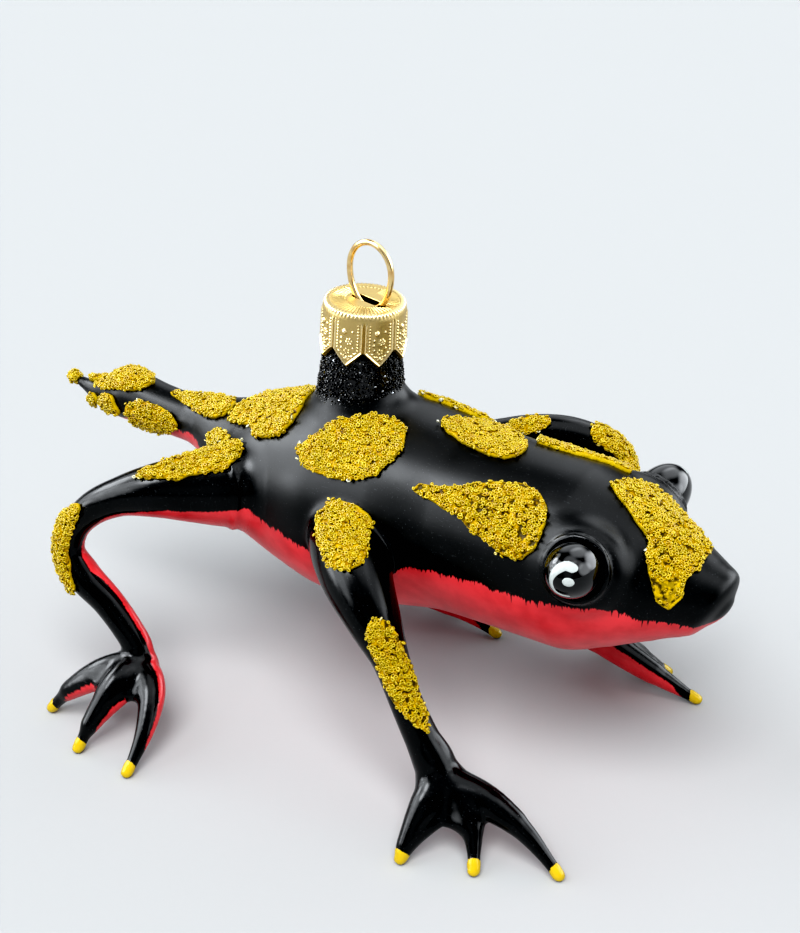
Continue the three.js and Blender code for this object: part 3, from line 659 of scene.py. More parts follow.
# Where red shows on a leg: distance along, the side that it faces, and how narrow it is.
RED_SIDE = {
    "front_right": [(0, (0.1, 0.3, -1), 0.45), (20, (-0.3, 0.8, -0.7), 0.72), (46, (-0.3, 1, 0), 0.9)],
    "front_left": [(0, (0.1, -0.3, -1), 0.4), (28, (-0.2, -0.5, -1), 0.6), (68, (-0.4, -1, 0), 0.7)],
    "hind_right": [
        (0, (0.5, 0, -0.9), 0.30), (19, (0.4, 0, -0.92), 0.44), (29, (0.5, 0.2, -0.84), 0.54),
        (34, (0.4, 0.77, -0.5), 0.28), (38, (0.36, 0.89, -0.27), 0.33), (41, (0.28, 0.95, -0.13), 0.28),
        (44, (0.09, 1, 0), -0.1), (47, (0.05, 1, 0.04), -0.2), (50, (0.05, 1, 0.04), 0.04),
        (54, (0.06, 1, 0.02), 0.05), (58, (0.06, 1, 0.01), -0.06), (64, (0.16, 0.99, -0.06), 0.05),
    ],
    "hind_left": [
        (0, (0.4, -0.2, -0.9), 0.4), (30, (0.8, -0.2, -0.5), 0.6), (61, (0.3, -0.6, -0.7), 0.5),
    ],
}
# The same for the toes, front to rear, by the share of each toe's length.
TOE_RED_SIDE = {
    "front_right": [
        [(0, (0.1, 0.3, -1), 0.8)],
        [(0.2, (0.9, 0.4, -0.4), 1.1), (0.4, (0.9, 0.4, -0.4), 0.85), (0.7, (0.9, 0.4, -0.5), 0.95)],
        [(0, (0.5, 0.4, -0.9), 0.8)],
    ],
    "front_left": [
        [(0, (-0.1, -0.75, -0.7), 0.1)], [(0, (0.3, -0.75, -0.7), 0.3)], [(0, (0, -0.75, -0.7), 0.3)],
    ],
    "hind_right": [
        [(0, (0.35, 0.65, 0.68), 0.64), (0.5, (0.83, 0.4, -0.2), 0.6), (1, (0.79, 0.16, -0.59), 0.6)],
        [(0.3, (0.24, 0.68, -0.69), 0.4), (0.5, (0.24, 0.68, -0.69), 0.06)],
        [(0, (0.4, -0.6, -0.75), 0.66)],
    ],
    "hind_left": [
        [(0, (0, -0.75, -0.7), 0.05)], [(0, (0, -0.7, -0.7), 0.1)], [(0, (0, -0.7, -0.7), 0.1)],
    ],
}
NAIL_RADIUS = 1.34
NAIL_BACK = 0.15
NAIL_UP = 0.62
NAIL_THICKNESS = 0.16
PAINT_MIX = 0.35  # how softly one part's paint runs into the next one's


def red_on_rod(rod, points, table, shares=False):
    """Distance off a rod, millimetres inside its red side, and the distance along it."""
    off, along, out = rod.place(points)
    stations, sides, narrow = zip(*table)
    place = along / rod.along[-1] if shares else along
    side = np.column_stack([np.interp(place, stations, [s[k] for s in sides]) for k in range(3)])
    side /= np.linalg.norm(side, axis=1)[:, None]
    radius = np.interp(along, rod.along, rod.radii)
    red = (np.sum(out * side, axis=1) - np.interp(place, stations, narrow)) * radius
    return off, red, along


def paint_fields(points, barrel, neck, legs, toes):
    """For each point of the skin: how many millimetres it lies inside the red, a measure along
    the paint's edge, and how much it belongs to a rod."""
    none = np.zeros(len(points))
    polished = none
    for side in (1, -1):
        away = eye_collar(side).distance(*points.T)
        polished = np.maximum(polished, np.clip(1 - away / COLLAR_SHEEN, 0, 1))
    off, x, turn, width = barrel.place(points)
    edge = np.interp(x, *zip(*COAT_EDGE))
    parts = [(off, np.radians(np.abs(turn) - edge) * width, x, polished)]
    off, along, _ = neck.place(points)
    parts.append((off, none - 9.0, along, none))
    for name, rod in legs.items():
        parts.append((*red_on_rod(rod, points, RED_SIDE[name]), none + 1))
    for name, group in toes.items():
        for rod, table in zip(group, TOE_RED_SIDE[name]):
            off, red, along = red_on_rod(rod, points, table, shares=True)
            red -= np.interp(along / rod.along[-1], [0.72, 0.94], [0, 1.2])
            parts.append((off, red, along, none + 1))
    offs, reds, runs, rods = (np.array(column) for column in zip(*parts))
    weight = np.exp(-(offs - offs.min(0)) / PAINT_MIX)
    weight /= weight.sum(0)
    run = runs[offs.argmin(0), np.arange(len(points))]
    return np.sum(weight * reds, axis=0), run, np.sum(weight * rods, axis=0)


# ------------------------------------------------------------------ materials


class Nodes:
    """Adds nodes to a tree. An input given as a socket is linked, and any other value is set."""

    def __init__(self, tree):
        self.tree = tree

    def add(self, kind, inputs=None, **settings):
        node = self.tree.nodes.new(kind)
        for key, value in settings.items():
            setattr(node, key, value)
        for key, value in (inputs or {}).items():
            self.feed(node.inputs[key], value)
        return node

    def feed(self, socket, value):
        if isinstance(value, bpy.types.NodeSocket):
            self.tree.links.new(value, socket)
        else:
            socket.default_value = value

    def math(self, operation, a, b=0.0, c=0.0, clamp=False):
        node = self.add("ShaderNodeMath", {0: a, 1: b, 2: c}, operation=operation, use_clamp=clamp)
        return node.outputs[0]

    def times(self, a, b):
        return self.math("MULTIPLY", a, b)

    def times_plus(self, a, b, c):
        return self.math("MULTIPLY_ADD", a, b, c)

    def blend(self, factor, a, b):
        """A colour between two."""
        node = self.add("ShaderNodeMix", {"Factor": factor, 6: a, 7: b}, data_type="RGBA")
        return node.outputs[2]

    def ramp(self, value, low, high, to_low=0.0, to_high=1.0):
        node = self.add("ShaderNodeMapRange", {
            "Value": value, "From Min": low, "From Max": high, "To Min": to_low, "To Max": to_high})
        return node.outputs[0]

    def attribute(self, name):
        return self.add("ShaderNodeAttribute", attribute_name=name).outputs["Fac"]

    def noise(self, vector, scale, detail=2.0, rough=0.5):
        node = self.add("ShaderNodeTexNoise", {
            "Vector": vector, "Scale": scale, "Detail": detail, "Roughness": rough})
        return node.outputs["Fac"]

    def patches(self, vector, scale, detail, low, high, rough=0.5):
        """A mask of the places where a noise lies above two limits."""
        return self.ramp(self.noise(vector, scale, detail, rough), low, high)


def linear(red, green, blue):
    """A colour on screen, 0 to 255, as light."""
    def one(value):
        value /= 255
        return value / 12.92 if value <= 0.04045 else ((value + 0.055) / 1.055) ** 2.4
    return (one(red), one(green), one(blue), 1.0)


class Finish(Nodes):
    """A material with only a Principled BSDF, on which the even values are set."""

    def __init__(self, name, even):
        self.material = bpy.data.materials.get(name) or bpy.data.materials.new(name)
        self.material.use_nodes = True
        super().__init__(self.material.node_tree)
        self.tree.nodes.clear()
        shader = self.add("ShaderNodeBsdfPrincipled", even)
        self.inputs = shader.inputs
        self.add("ShaderNodeOutputMaterial", {"Surface": shader.outputs[0]})

    def give(self, socket, value):
        self.feed(self.inputs[socket], value)

    def place(self):
        """Object coordinates in millimetres."""
        place = self.add("ShaderNodeTexCoord").outputs["Object"]
        scaled = self.add("ShaderNodeVectorMath", {0: place, "Scale": 1 / MM}, operation="SCALE")
        return scaled.outputs[0]

    def wear(self, place, gloss, dust, spread=0.1):
        """Roughness as handling leaves it. Gives back what the group puts out."""
        worn = self.add("ShaderNodeGroup", {
            "Place": place, "Gloss": gloss, "Gloss spread": spread, "Dust": dust,
        }, node_tree=bpy.data.node_groups["handling"]).outputs
        self.give("Roughness", worn["Roughness"])
        return worn

    def bump(self, height, strength, depth):
        node = self.add("ShaderNodeBump", {
            "Strength": strength, "Distance": depth * MM, "Height": height})
        self.give("Normal", node.outputs[0])


def new_group(name, kind, inputs, outputs):
    """A node group with named sockets. An input is given by its default or by its type."""
    old = bpy.data.node_groups.get(name)
    if old is not None:
        bpy.data.node_groups.remove(old)
    group = bpy.data.node_groups.new(name, kind)
    for label, given in inputs.items():
        typed = {float: "Float", int: "Int"}.get(type(given), given)
        socket = group.interface.new_socket(label, in_out="INPUT", socket_type=f"NodeSocket{typed}")
        if typed != given:
            socket.default_value = given
    for label, typed in outputs.items():
        group.interface.new_socket(label, in_out="OUTPUT", socket_type=f"NodeSocket{typed}")
    nodes = Nodes(group)
    return group, nodes, nodes.add("NodeGroupInput").outputs, nodes.add("NodeGroupOutput").inputs


def handling_group():
    """Dust, faint scratches and uneven gloss that every smooth surface here has."""
    _, nodes, given, result = new_group(
        "handling", "ShaderNodeTree",
        {"Place": "Vector", "Dust": 0.5, "Gloss spread": 0.1, "Gloss": 0.3},
        {"Roughness": "Float", "Dust": "Float", "Height": "Float"})
    broad = nodes.noise(given["Place"], 0.22, 4.0, 0.6)
    fine = nodes.noise(given["Place"], 2.6, 3.0, 0.6)
    specks = nodes.patches(given["Place"], 5.5, 1.0, 0.735, 0.77, 0.4)
    stretched = nodes.add("ShaderNodeMapping", {
        "Vector": given["Place"], "Rotation": (0.6, 0.35, 0.9), "Scale": (0.35, 9.0, 5.0)})
    scratches = nodes.patches(stretched.outputs[0], 0.8, 2.0, 0.70, 0.74, 0.55)
    marks = nodes.math("MAXIMUM", specks, nodes.times(scratches, 0.5))
    dust = nodes.math("MULTIPLY", marks, given["Dust"], clamp=True)
    spread = nodes.times(nodes.math("SUBTRACT", broad, 0.5), given["Gloss spread"])
    spread = nodes.times_plus(nodes.math("SUBTRACT", fine, 0.5), 0.06, spread)
    rough = nodes.math("ADD", given["Gloss"], nodes.times_plus(dust, 0.25, spread), clamp=True)
    nodes.feed(result["Roughness"], rough)
    nodes.feed(result["Dust"], dust)
    nodes.feed(result["Height"], nodes.times_plus(specks, given["Dust"], nodes.times(broad, 0.6)))


def ragged_group():
    """Brushed edge of the black coat: drips and hairs that run from the black into the red."""
    _, nodes, given, result = new_group(
        "brushed_edge", "ShaderNodeTree",
        {"Inside": 0.0, "Run": 0.0, "Drip": 1.0, "Hair": 1.0, "Calm": 0.0},
        {"Red": "Float"})

    def streak(frequency, pull, detail, low, high):
        vector = nodes.add("ShaderNodeCombineXYZ", {
            "X": nodes.times(given["Run"], frequency), "Y": nodes.times(given["Inside"], pull)})
        return nodes.patches(vector.outputs[0], 1.0, detail, low, high, 0.55)

    drip = nodes.times(streak(0.35, 0.05, 3.0, 0.40, 0.70), given["Drip"])
    hair = nodes.math("POWER", streak(2.6, 0.10, 3.0, 0.46, 0.78), 1.6)
    fringe = nodes.times(streak(7.5, 0.30, 1.0, 0.45, 0.75), 0.35)
    reach = nodes.math("ADD", nodes.times_plus(hair, given["Hair"], drip), fringe)
    reach = nodes.times(reach, nodes.ramp(given["Calm"], 0.0, 1.0, 1.0, 0.22))
    red = nodes.ramp(nodes.math("SUBTRACT", given["Inside"], reach), -0.06, 0.10)
    nodes.feed(result["Red"], red)


def painted_glass(settings):
    """Black lacquer over red, with yellow toe tips."""
    finish = Finish("painted_glass", {"IOR": 1.45, "Specular IOR Level": settings.shine})
    place, rod = finish.place(), finish.attribute("rod")
    red = finish.add("ShaderNodeGroup", {
        "Inside": finish.attribute("red_mm"), "Run": finish.attribute("run_mm"), "Calm": rod,
        "Drip": settings.drip, "Hair": settings.hair,
    }, node_tree=bpy.data.node_groups["brushed_edge"]).outputs["Red"]
    gloss = finish.ramp(rod, 0, 1, settings.body_gloss, settings.rod_gloss)
    worn = finish.wear(place, gloss, 0.5, 0.14)
    black = finish.blend(finish.patches(place, 0.16, 3.0, 0.35, 0.7), linear(3, 4, 4), linear(11, 12, 13))
    black = finish.blend(worn["Dust"], black, linear(96, 100, 104))
    paint = finish.blend(finish.patches(place, 0.3, 3.0, 0.35, 0.7),
                         (*settings.red, 1), linear(192, 56, 62))
    nail = finish.times_plus(finish.noise(place, 2.2, 2.0), 0.35, finish.attribute("nail_mm"))
    nail = finish.ramp(nail, 0.10, 0.18)
    colour = finish.blend(nail, finish.blend(red, black, paint), linear(196, 170, 36))
    finish.give("Base Color", colour)
    height = finish.times_plus(nail, 0.9, finish.times_plus(red, -0.5, worn["Height"]))
    finish.bump(height, 0.35, 0.06)
    return finish.material


def eye_glass():
    """Black glass with a deep polish."""
    finish = Finish("eye_glass", {
        "IOR": 1.45, "Specular IOR Level": 0.55, "Coat Weight": 0.4, "Coat Roughness": 0.03})
    worn = finish.wear(finish.place(), 0.05, 0.25, 0.04)
    finish.give("Base Color", finish.blend(worn["Dust"], linear(6, 7, 8), linear(90, 94, 96)))
    return finish.material


def enamel(name, colour):
    """Thick hand-laid enamel."""
    finish = Finish(name, {})
    worn = finish.wear(finish.place(), 0.25, 0.3)
    finish.give("Base Color", finish.blend(worn["Dust"], colour, linear(120, 118, 110)))
    finish.bump(worn["Height"], 0.3, 0.03)
    return finish.material


def grit_paint(settings):
    """The glue and paint that holds the grit: a clean yellow line round a bed painted darker as shade
    between the beads, with painted shade in its holes.
    """
    finish = Finish("grit_paint", {"Roughness": 0.45, "Specular IOR Level": 0.3})
    place = finish.place()
    # Painted shade: the bed between the beads is darker than the clean rim, because the gaps lie in
    # shade.
    bed = finish.blend(finish.patches(place, 0.9, 3.0, 0.35, 0.65),
                       linear(150, 118, 6), linear(196, 164, 8))
    # Painted shade: small dark brown specks stand in for the shaded holes among the rings.
    bed = finish.blend(finish.patches(place, 1.15, 2.0, 0.52, 0.60, 0.6), bed, linear(70, 52, 6))
    colour = finish.blend(finish.attribute("rim"), bed, (*settings.yellow, 1))
    # The pits are dark olive: partly the black glass showing through the paint, partly painted shade in
    # the hollow.
    finish.give("Base Color", finish.blend(finish.attribute("pit"), colour, linear(70, 58, 12)))
    finish.bump(finish.noise(place, 2.6, 3.0, 0.6), 0.5, 0.1)
    return finish.material


def grit_grain(settings):
    """Glass beads with the yellow run over them, each a little different."""
    finish = Finish("grit_grain", {"Coat Weight": 0.45, "Coat Roughness": 0.06})
    own = finish.attribute("shade")
    pale = finish.blend(finish.ramp(own, 0.86, 1.0), (*settings.yellow, 1), linear(206, 190, 66))
    deep = finish.blend(finish.ramp(own, 0.0, 0.3, 1.0, 0.0), pale, linear(170, 138, 12))
    patchy = finish.times(finish.patches(finish.place(), 0.5, 3.0, 0.45, 0.7), 0.7)
    finish.give("Base Color", finish.blend(patchy, deep, linear(166, 150, 16)))
    finish.give("Roughness", finish.ramp(own, 0, 1, 0.18, 0.4))
    return finish.material


def clear_grain():
    """Beads that no paint has reached."""
    finish = Finish("clear_grain", {"Roughness": 0.04, "IOR": 1.5, "Transmission Weight": 0.45})
    tint = finish.ramp(finish.attribute("shade"), 0.3, 0.8)
    finish.give("Base Color", finish.blend(tint, linear(244, 246, 232), linear(250, 238, 150)))
    return finish.material


def glitter(settings):
    """Black crystal glitter with a few bright flakes."""
    finish = Finish("black_glitter", {
        "Specular IOR Level": 0.6, "Coat Weight": settings.glitter_coat, "Coat Roughness": 0.05})
    own = finish.attribute("shade")
    flake = finish.ramp(own, 0.984, 0.987)
    colour = finish.blend(flake, linear(3, 3, 4), linear(190, 194, 200))
    colour = finish.blend(finish.ramp(own, 0.9975, 0.998), colour, linear(70, 200, 150))
    finish.give("Base Color", colour)
    finish.give("Metallic", finish.times(flake, 0.9))
    finish.give("Roughness", finish.ramp(own, 0, 1, 0.03, 0.12))
    return finish.material


def pressed_metal(settings):
    """Thin gold-coloured metal, painted darker in its folds as shade and full gold on what stands out."""
    finish = Finish("pressed_metal", {"Metallic": 1.0})
    place, raised = finish.place(), finish.attribute("raised_mm")
    finish.wear(place, finish.ramp(raised, 0.0, 0.15, 0.4, 0.26), 0.4, 0.16)
    # Painted shade: low relief and the inside take a darker gold, and raised relief takes the full gold.
    gold = finish.blend(finish.ramp(raised, -0.03, 0.18), linear(198, 176, 120), (*settings.gold, 1))
    tarnish = finish.times(finish.patches(place, 0.5, 4.0, 0.56, 0.75, 0.6), 0.4)
    finish.give("Base Color", finish.blend(tarnish, gold, linear(214, 202, 124)))
    finish.bump(finish.noise(place, 1.8, 4.0, 0.65), 0.35, 0.08)
    return finish.material


def ring_wire(settings):
    """Drawn wire, with fine marks along it."""
    finish = Finish("ring_wire", {"Metallic": 1.0})
    place = finish.place()
    finish.wear(place, 0.2, 0.3, 0.2)
    mottle = finish.patches(place, 0.8, 3.0, 0.4, 0.7)
    finish.give("Base Color", finish.blend(mottle, (*settings.copper, 1), linear(214, 178, 124)))
    return finish.material


# ------------------------------------------------------------------ beads and crystals


def scatter_tree(name, shape):
    """A Geometry Nodes tree that strews small shapes over the marked part of a mesh."""
    tree, nodes, given, result = new_group(name, "GeometryNodeTree", {
        "Base": "Geometry", "Spacing": 0.6 * MM, "Size": 0.38 * MM, "Lift": 0.1 * MM, "Tilt": 1.0,
        "Seed": 1, "Grain": "Material"}, {"Grains": "Geometry"})

    def vector_math(operation, inputs):
        return nodes.add("ShaderNodeVectorMath", inputs, operation=operation).outputs[0]

    def random_share(seed=0):
        node = nodes.add("FunctionNodeRandomValue", {2: 0.0, 3: 1.0, "Seed": seed}, data_type="FLOAT")
        return node.outputs[1]

    def random_vector(low, high, seed=0):
        node = nodes.add("FunctionNodeRandomValue", {0: low, 1: high, "Seed": seed},
                         data_type="FLOAT_VECTOR")
        return node.outputs[0]

    marked = nodes.add("GeometryNodeInputNamedAttribute", {"Name": "bed"}, data_type="FLOAT")
    strewn = nodes.add("GeometryNodeDistributePointsOnFaces", {
        "Mesh": given["Base"], "Distance Min": given["Spacing"], "Density Max": 9e6,
        "Density Factor": marked.outputs[0], "Seed": given["Seed"]},
        distribute_method="POISSON").outputs
    rise = nodes.times(random_share(given["Seed"]), given["Lift"])
    offset = vector_math("SCALE", {0: strewn["Normal"], "Scale": rise})
    lifted = nodes.add("GeometryNodeSetPosition", {"Geometry": strewn["Points"], "Offset": offset})
    angles = random_vector((-1, -1, -math.pi), (1, 1, math.pi), given["Seed"])
    tilt = nodes.add("ShaderNodeCombineXYZ", {"X": given["Tilt"], "Y": given["Tilt"], "Z": 1.0})
    tilted = vector_math("MULTIPLY", {0: angles, 1: tilt.outputs[0]})
    turned = nodes.add("FunctionNodeRotateRotation", {
        "Rotation": strewn["Rotation"],
        "Rotate By": nodes.add("FunctionNodeEulerToRotation", {0: tilted}).outputs[0],
    }, rotation_space="LOCAL")
    grains = nodes.add("GeometryNodeInstanceOnPoints", {
        "Points": lifted.outputs[0], "Instance": shape(nodes, given["Size"]),
        "Rotation": turned.outputs[0],
        "Scale": random_vector((0.7, 0.7, 0.8), (1.2, 1.2, 1.3))})
    shaded = nodes.add("GeometryNodeStoreNamedAttribute", {
        "Geometry": grains.outputs[0], "Name": "shade", "Value": random_share()},
        data_type="FLOAT", domain="INSTANCE")
    real = nodes.add("GeometryNodeRealizeInstances", {"Geometry": shaded.outputs[0]})
    dressed = nodes.add("GeometryNodeSetMaterial", {
        "Geometry": real.outputs[0], "Material": given["Grain"]})
    nodes.feed(result["Grains"], dressed.outputs[0])
    return tree


def bead_shape(nodes, size):
    """A short length of glass tube, as a ring of few faces."""
    line, section = (
        nodes.add("GeometryNodeCurvePrimitiveCircle", {
            "Resolution": sides, "Radius": nodes.times(size, share)}).outputs[0]
        for sides, share in ((9, 0.66), (5, 0.34)))
    ring = nodes.add("GeometryNodeCurveToMesh", {"Curve": line, "Profile Curve": section})
    return nodes.add("GeometryNodeSetShadeSmooth", {"Geometry": ring.outputs[0]}).outputs[0]


def crystal_shape(nodes, size):
    """A blunt crystal with flat faces."""
    ball = nodes.add("GeometryNodeMeshIcoSphere", {"Radius": size, "Subdivisions": 1})
    flat = nodes.add("GeometryNodeSetShadeSmooth", {"Geometry": ball.outputs[0], "Shade Smooth": False})
    return flat.outputs[0]


def strew(base, tree, **values):
    """Runs a scatter tree on a mesh and returns the mesh of the grains."""
    holder = holder_of(base)
    modifier = holder.modifiers.new("strew", "NODES")
    modifier.node_group = tree
    for item in tree.interface.items_tree:
        if item.item_type == "SOCKET" and item.in_out == "INPUT" and item.name in values:
            modifier[item.identifier] = values[item.name]
    return evaluated_mesh(holder)


def joined(*meshes):
    """One mesh of several, with their materials kept."""
    holders = [holder_of(mesh) for mesh in meshes]
    first = holders[0]
    with bpy.context.temp_override(active_object=first, selected_editable_objects=holders):
        bpy.ops.object.join()
    mesh = first.data
    bpy.data.objects.remove(first)
    return mesh


# ------------------------------------------------------------------ settings


def length(name, description, millimetres, least, most):
    return FloatProperty(name=name, description=description, default=millimetres * MM,
                         min=least * MM, max=most * MM, unit="LENGTH")


def colour(name, description, *screen):
    return FloatVectorProperty(name=name, description=description, default=linear(*screen)[:3],
                               subtype="COLOR", min=0, max=1)


def share(name, description, default):
    return FloatProperty(name=name, description=description, default=default, min=0, max=1,
                         subtype="FACTOR")


def amount(name, description, default, most):
    return FloatProperty(name=name, description=description, default=default, min=0, max=most)


class GlassSettings(PropertyGroup):
    step: length("Mesh step", "Spacing of the skin's points", 0.48, 0.3, 2)
    red: colour("Red", "Paint of the underside", 212, 70, 76)
    body_gloss: share("Body roughness", "Roughness of the black on the body", 0.34)
    shine: share("Shine", "How much the lacquer reflects", 0.47)
    rod_gloss: share("Leg roughness", "Roughness of the black on the legs", 0.2)
    drip: amount("Drips", "Reach of the broad drips, in millimetres", 0.9, 5)
    hair: amount("Hairs", "Reach of the brush hairs, in millimetres", 1.7, 5)


class GritSettings(PropertyGroup):
    yellow: colour("Yellow", "Paint over the beads", 187, 164, 32)
    bead: length("Bead radius", "Outer radius of a bead", 0.37, 0.1, 1)
    spacing: length("Bead spacing", "Least distance between two beads", 0.37, 0.2, 2)
    lift: length("Bead lift", "How far beads rise out of the paint", 0.26, 0, 1)
    tilt: amount("Bead tilt", "How far beads lean, in radians", 0.55, 3)
    seed: IntProperty(name="Seed", description="Start of the random places", default=11, min=0)


class PikeSettings(PropertyGroup):
    crystal: length("Crystal radius", "Radius of a glitter crystal", 0.2, 0.05, 1)
    glitter_coat: share("Sparkle", "Weight of the crystals' polish", 0.25)
    gold: colour("Gold", "Metal of the cap", 250, 230, 182)
    copper: colour("Copper", "Metal of the ring", 240, 216, 164)


class StageSettings(PropertyGroup):
    floor: colour("Floor", "Colour of the floor", 178, 180, 181)
    room: amount("Room", "How bright the room is in the glass", 0.12, 10)
    ambient: amount("Ambient light", "Light from all sides on matt surfaces", 0.2, 10)
    fill: amount("Fill light", "Strength of the flagged light in front", 2.95, 100)


# ------------------------------------------------------------------ operators

SKIN = "glass_body"
GLASS_NODES = [
    "torso", "head", "tail",
    *(f"{leg}_{part}" for leg in LEGS for part in ("upper_leg", "lower_leg", "foot")),
]


class ORNAMENT_OT_glass_body(Operator):
    """Fused glass of the body, legs, feet and eye collars, painted black over red"""

    bl_idname = "ornament.glass_body"
    bl_label = "Glass body"

    def execute(self, context):
        settings = context.scene.ornament_glass
        glass, barrel, neck, legs, toes = fused_glass()
        points, faces = glass_skin(glass, settings.step / MM)
        red, run, rod = paint_fields(points, barrel, neck, legs, toes)
        nail = toe_drops(points, toes)
        swell = NAIL_THICKNESS * np.clip(nail / 0.3, 0, 1) * (points[:, 2] > 0.2)
        mesh = new_mesh(SKIN, points + glass.slope(points)[1] * swell[:, None], faces)
        for name, values in (("red_mm", red), ("nail_mm", nail), ("run_mm", run), ("rod", rod)):
            store(mesh, name, values)
        handling_group()
        ragged_group()
        new_piece(SKIN, mesh, [painted_glass(settings)], GLASS_NODES)
        return {"FINISHED"}


def eye_dome(side, across, up, lift=0.0):
    """A place on an eye, given by its offsets from the axis sideways and upwards."""
    seat, axis, sideways, upward = eye_frame(side)
    out = math.hypot(across, up)
    turn = math.acos(min(1.0, (out / EYE_RADIUS) ** (1 / EYE_FULLNESS)))
    rise = EYE_FOOT + (EYE_LENGTH - EYE_FOOT) * math.sin(turn)
    scale = (out + lift * math.cos(turn)) / max(out, 1e-6)
    return (seat + axis * (rise + lift * math.sin(turn))
            + sideways * across * scale + upward * up * scale)


def eye_mesh(side, sides=96, rings=40):
    """A bullet-shaped dome of glass."""
    seat, axis, sideways, upward = eye_frame(side)
    loops = [circle(seat - axis * EYE_ROOT, sideways, upward, EYE_RADIUS * 0.9, sides)]
    for turn in np.linspace(0, math.pi / 2, rings, endpoint=False):
        rise = EYE_FOOT + (EYE_LENGTH - EYE_FOOT) * math.sin(turn)
        radius = EYE_RADIUS * math.cos(turn) ** EYE_FULLNESS
        loops.append(circle(seat + axis * rise, sideways, upward, radius, sides))
    points, faces = swept(loops)
    points[-1] = seat + axis * EYE_LENGTH
    return new_mesh("eye", points, faces)


# The painted comma and dot: towards the snout, up and half width, in millimetres.
EYE_COMMA = [
    (1.98, 1.0, 0.02), (1.93, 1.06, 0.3), (1.75, 1.2, 0.52), (1.37, 1.42, 0.62), (0.57, 1.57, 0.67),
    (-0.07, 1.22, 0.69), (-0.77, 0.47, 0.6), (-1.17, -0.42, 0.45), (-1.22, -1.17, 0.34),
    (-1.02, -1.86, 0.28), (-0.62, -2.46, 0.22), (-0.02, -2.76, 0.16), (0.72, -2.86, 0.1),
    (1.3, -2.8, 0.04),
]
EYE_DOT = (1.27, -0.58, 0.8, 0.66)
PAINT_THICKNESS = 0.09


def eye_stroke(side, stations, steps=28, sides=12):
    """A brush stroke of enamel on an eye."""
    line = spline(stations, np.linspace(0, 1, steps))
    line[:, 2] = np.maximum(line[:, 2], 0.03)
    loops = []
    for i, (across, up, half) in enumerate(line):
        ahead = line[min(i + 1, steps - 1), :2] - line[max(i - 1, 0), :2]
        normal = unit([-ahead[1], ahead[0]])
        loops.append([
            eye_dome(side, across + normal[0] * half * math.cos(a),
                     up + normal[1] * half * math.cos(a), PAINT_THICKNESS * math.sin(a))
            for a in np.linspace(0, 2 * math.pi, sides, endpoint=False)])
    return swept(loops)


def eye_marks(side):
    """The comma and the dot, as one mesh."""
    across, up, half_length, half_height = EYE_DOT
    dot = [(across + half_length * s, up, half_height * math.sqrt(max(0.0, 1 - s * s)))
           for s in np.linspace(-0.98, 0.98, 9)]
    points, faces = [], []
    for stations in (EYE_COMMA, dot):
        more, quads = eye_stroke(side, stations)
        faces += [tuple(index + len(points) for index in quad) for quad in quads]
        points += list(more)
    return facing_out(new_mesh("eye_marks", points, faces))


def facing_out(mesh):
    """The mesh with its doubles merged and its faces pointing outwards."""
    work = bmesh.new()
    work.from_mesh(mesh)
    bmesh.ops.remove_doubles(work, verts=work.verts, dist=1e-7)
    bmesh.ops.recalc_face_normals(work, faces=work.faces)
    work.to_mesh(mesh)
    work.free()
    return mesh


class ORNAMENT_OT_eyes(Operator):
    """Glass eyes with a painted comma and dot"""

    bl_idname = "ornament.eyes"
    bl_label = "Eyes"

    def execute(self, context):
        glass = eye_glass()
        white = enamel("white_enamel", linear(178, 184, 183))
        for label, side in (("right", -1), ("left", 1)):
            mesh = facing_out(eye_mesh(side))
            new_piece(f"glass_eye_{label}", mesh, [glass], [f"eye_{label}"])
            new_piece(f"eye_marks_{label}", eye_marks(side), [white])
        return {"FINISHED"}


PAD_VOXEL = 0.23 * MM
PAD_TOP = 0.75  # height of the bed of paint over the glass, in millimetres
PAD_SINK = 0.12
PAD_ROUGH = 0.16  # how uneven the bed's height is
PAD_WOBBLE = 0.3  # how uneven its outline is
WOBBLE_SEED = 7  # without a seed, noise_vector differs from run to run
PIT_DEPTH = 0.3
PIT_EDGE = 0.06
PIT_LIMIT = 0.43
# Where the noise must rise to for a pit: lower on the patches that have many.
PITS = {"grit_flank_right": 0.2, "grit_forearm_right": 0.28, "grit_head": 0.27, "grit_flank_left": 0.26}
# The lower share of a patch that is paint with holes and few beads.
BALD = {"grit_head": 0.36}
BALD_SHARE = 0.75  # how much of the beads is missing there
BALD_EDGE = 0.8  # over how many millimetres the beads thin out
BALD_PITS = 0.12  # how much lower the limit for a pit lies there
BALL_NODE = "grit_tail_tip"
LOOSE_BEADS = {"Spacing": 0.8 * MM, "Lift": 0.5 * MM, "Tilt": 1.4}


def skin_tree():
    skin = bpy.data.objects.get(SKIN)
    if skin is None:
        raise RuntimeError("build the glass body first: the grit lies on it")
    mesh = skin.data
    return BVHTree.FromPolygons([v.co for v in mesh.vertices], [p.vertices for p in mesh.polygons])


def ramped(value, low, high):
    """0 below the lower limit, 1 above the upper one, and even in between."""
    return min(max((value - low) / (high - low), 0.0), 1.0)


def modified(mesh, kind, **settings):
    """The mesh after one modifier."""
    holder = holder_of(mesh)
    modifier = holder.modifiers.new(kind.lower(), kind)
    for name, value in settings.items():
        setattr(modifier, name, value)
    return evaluated_mesh(holder)


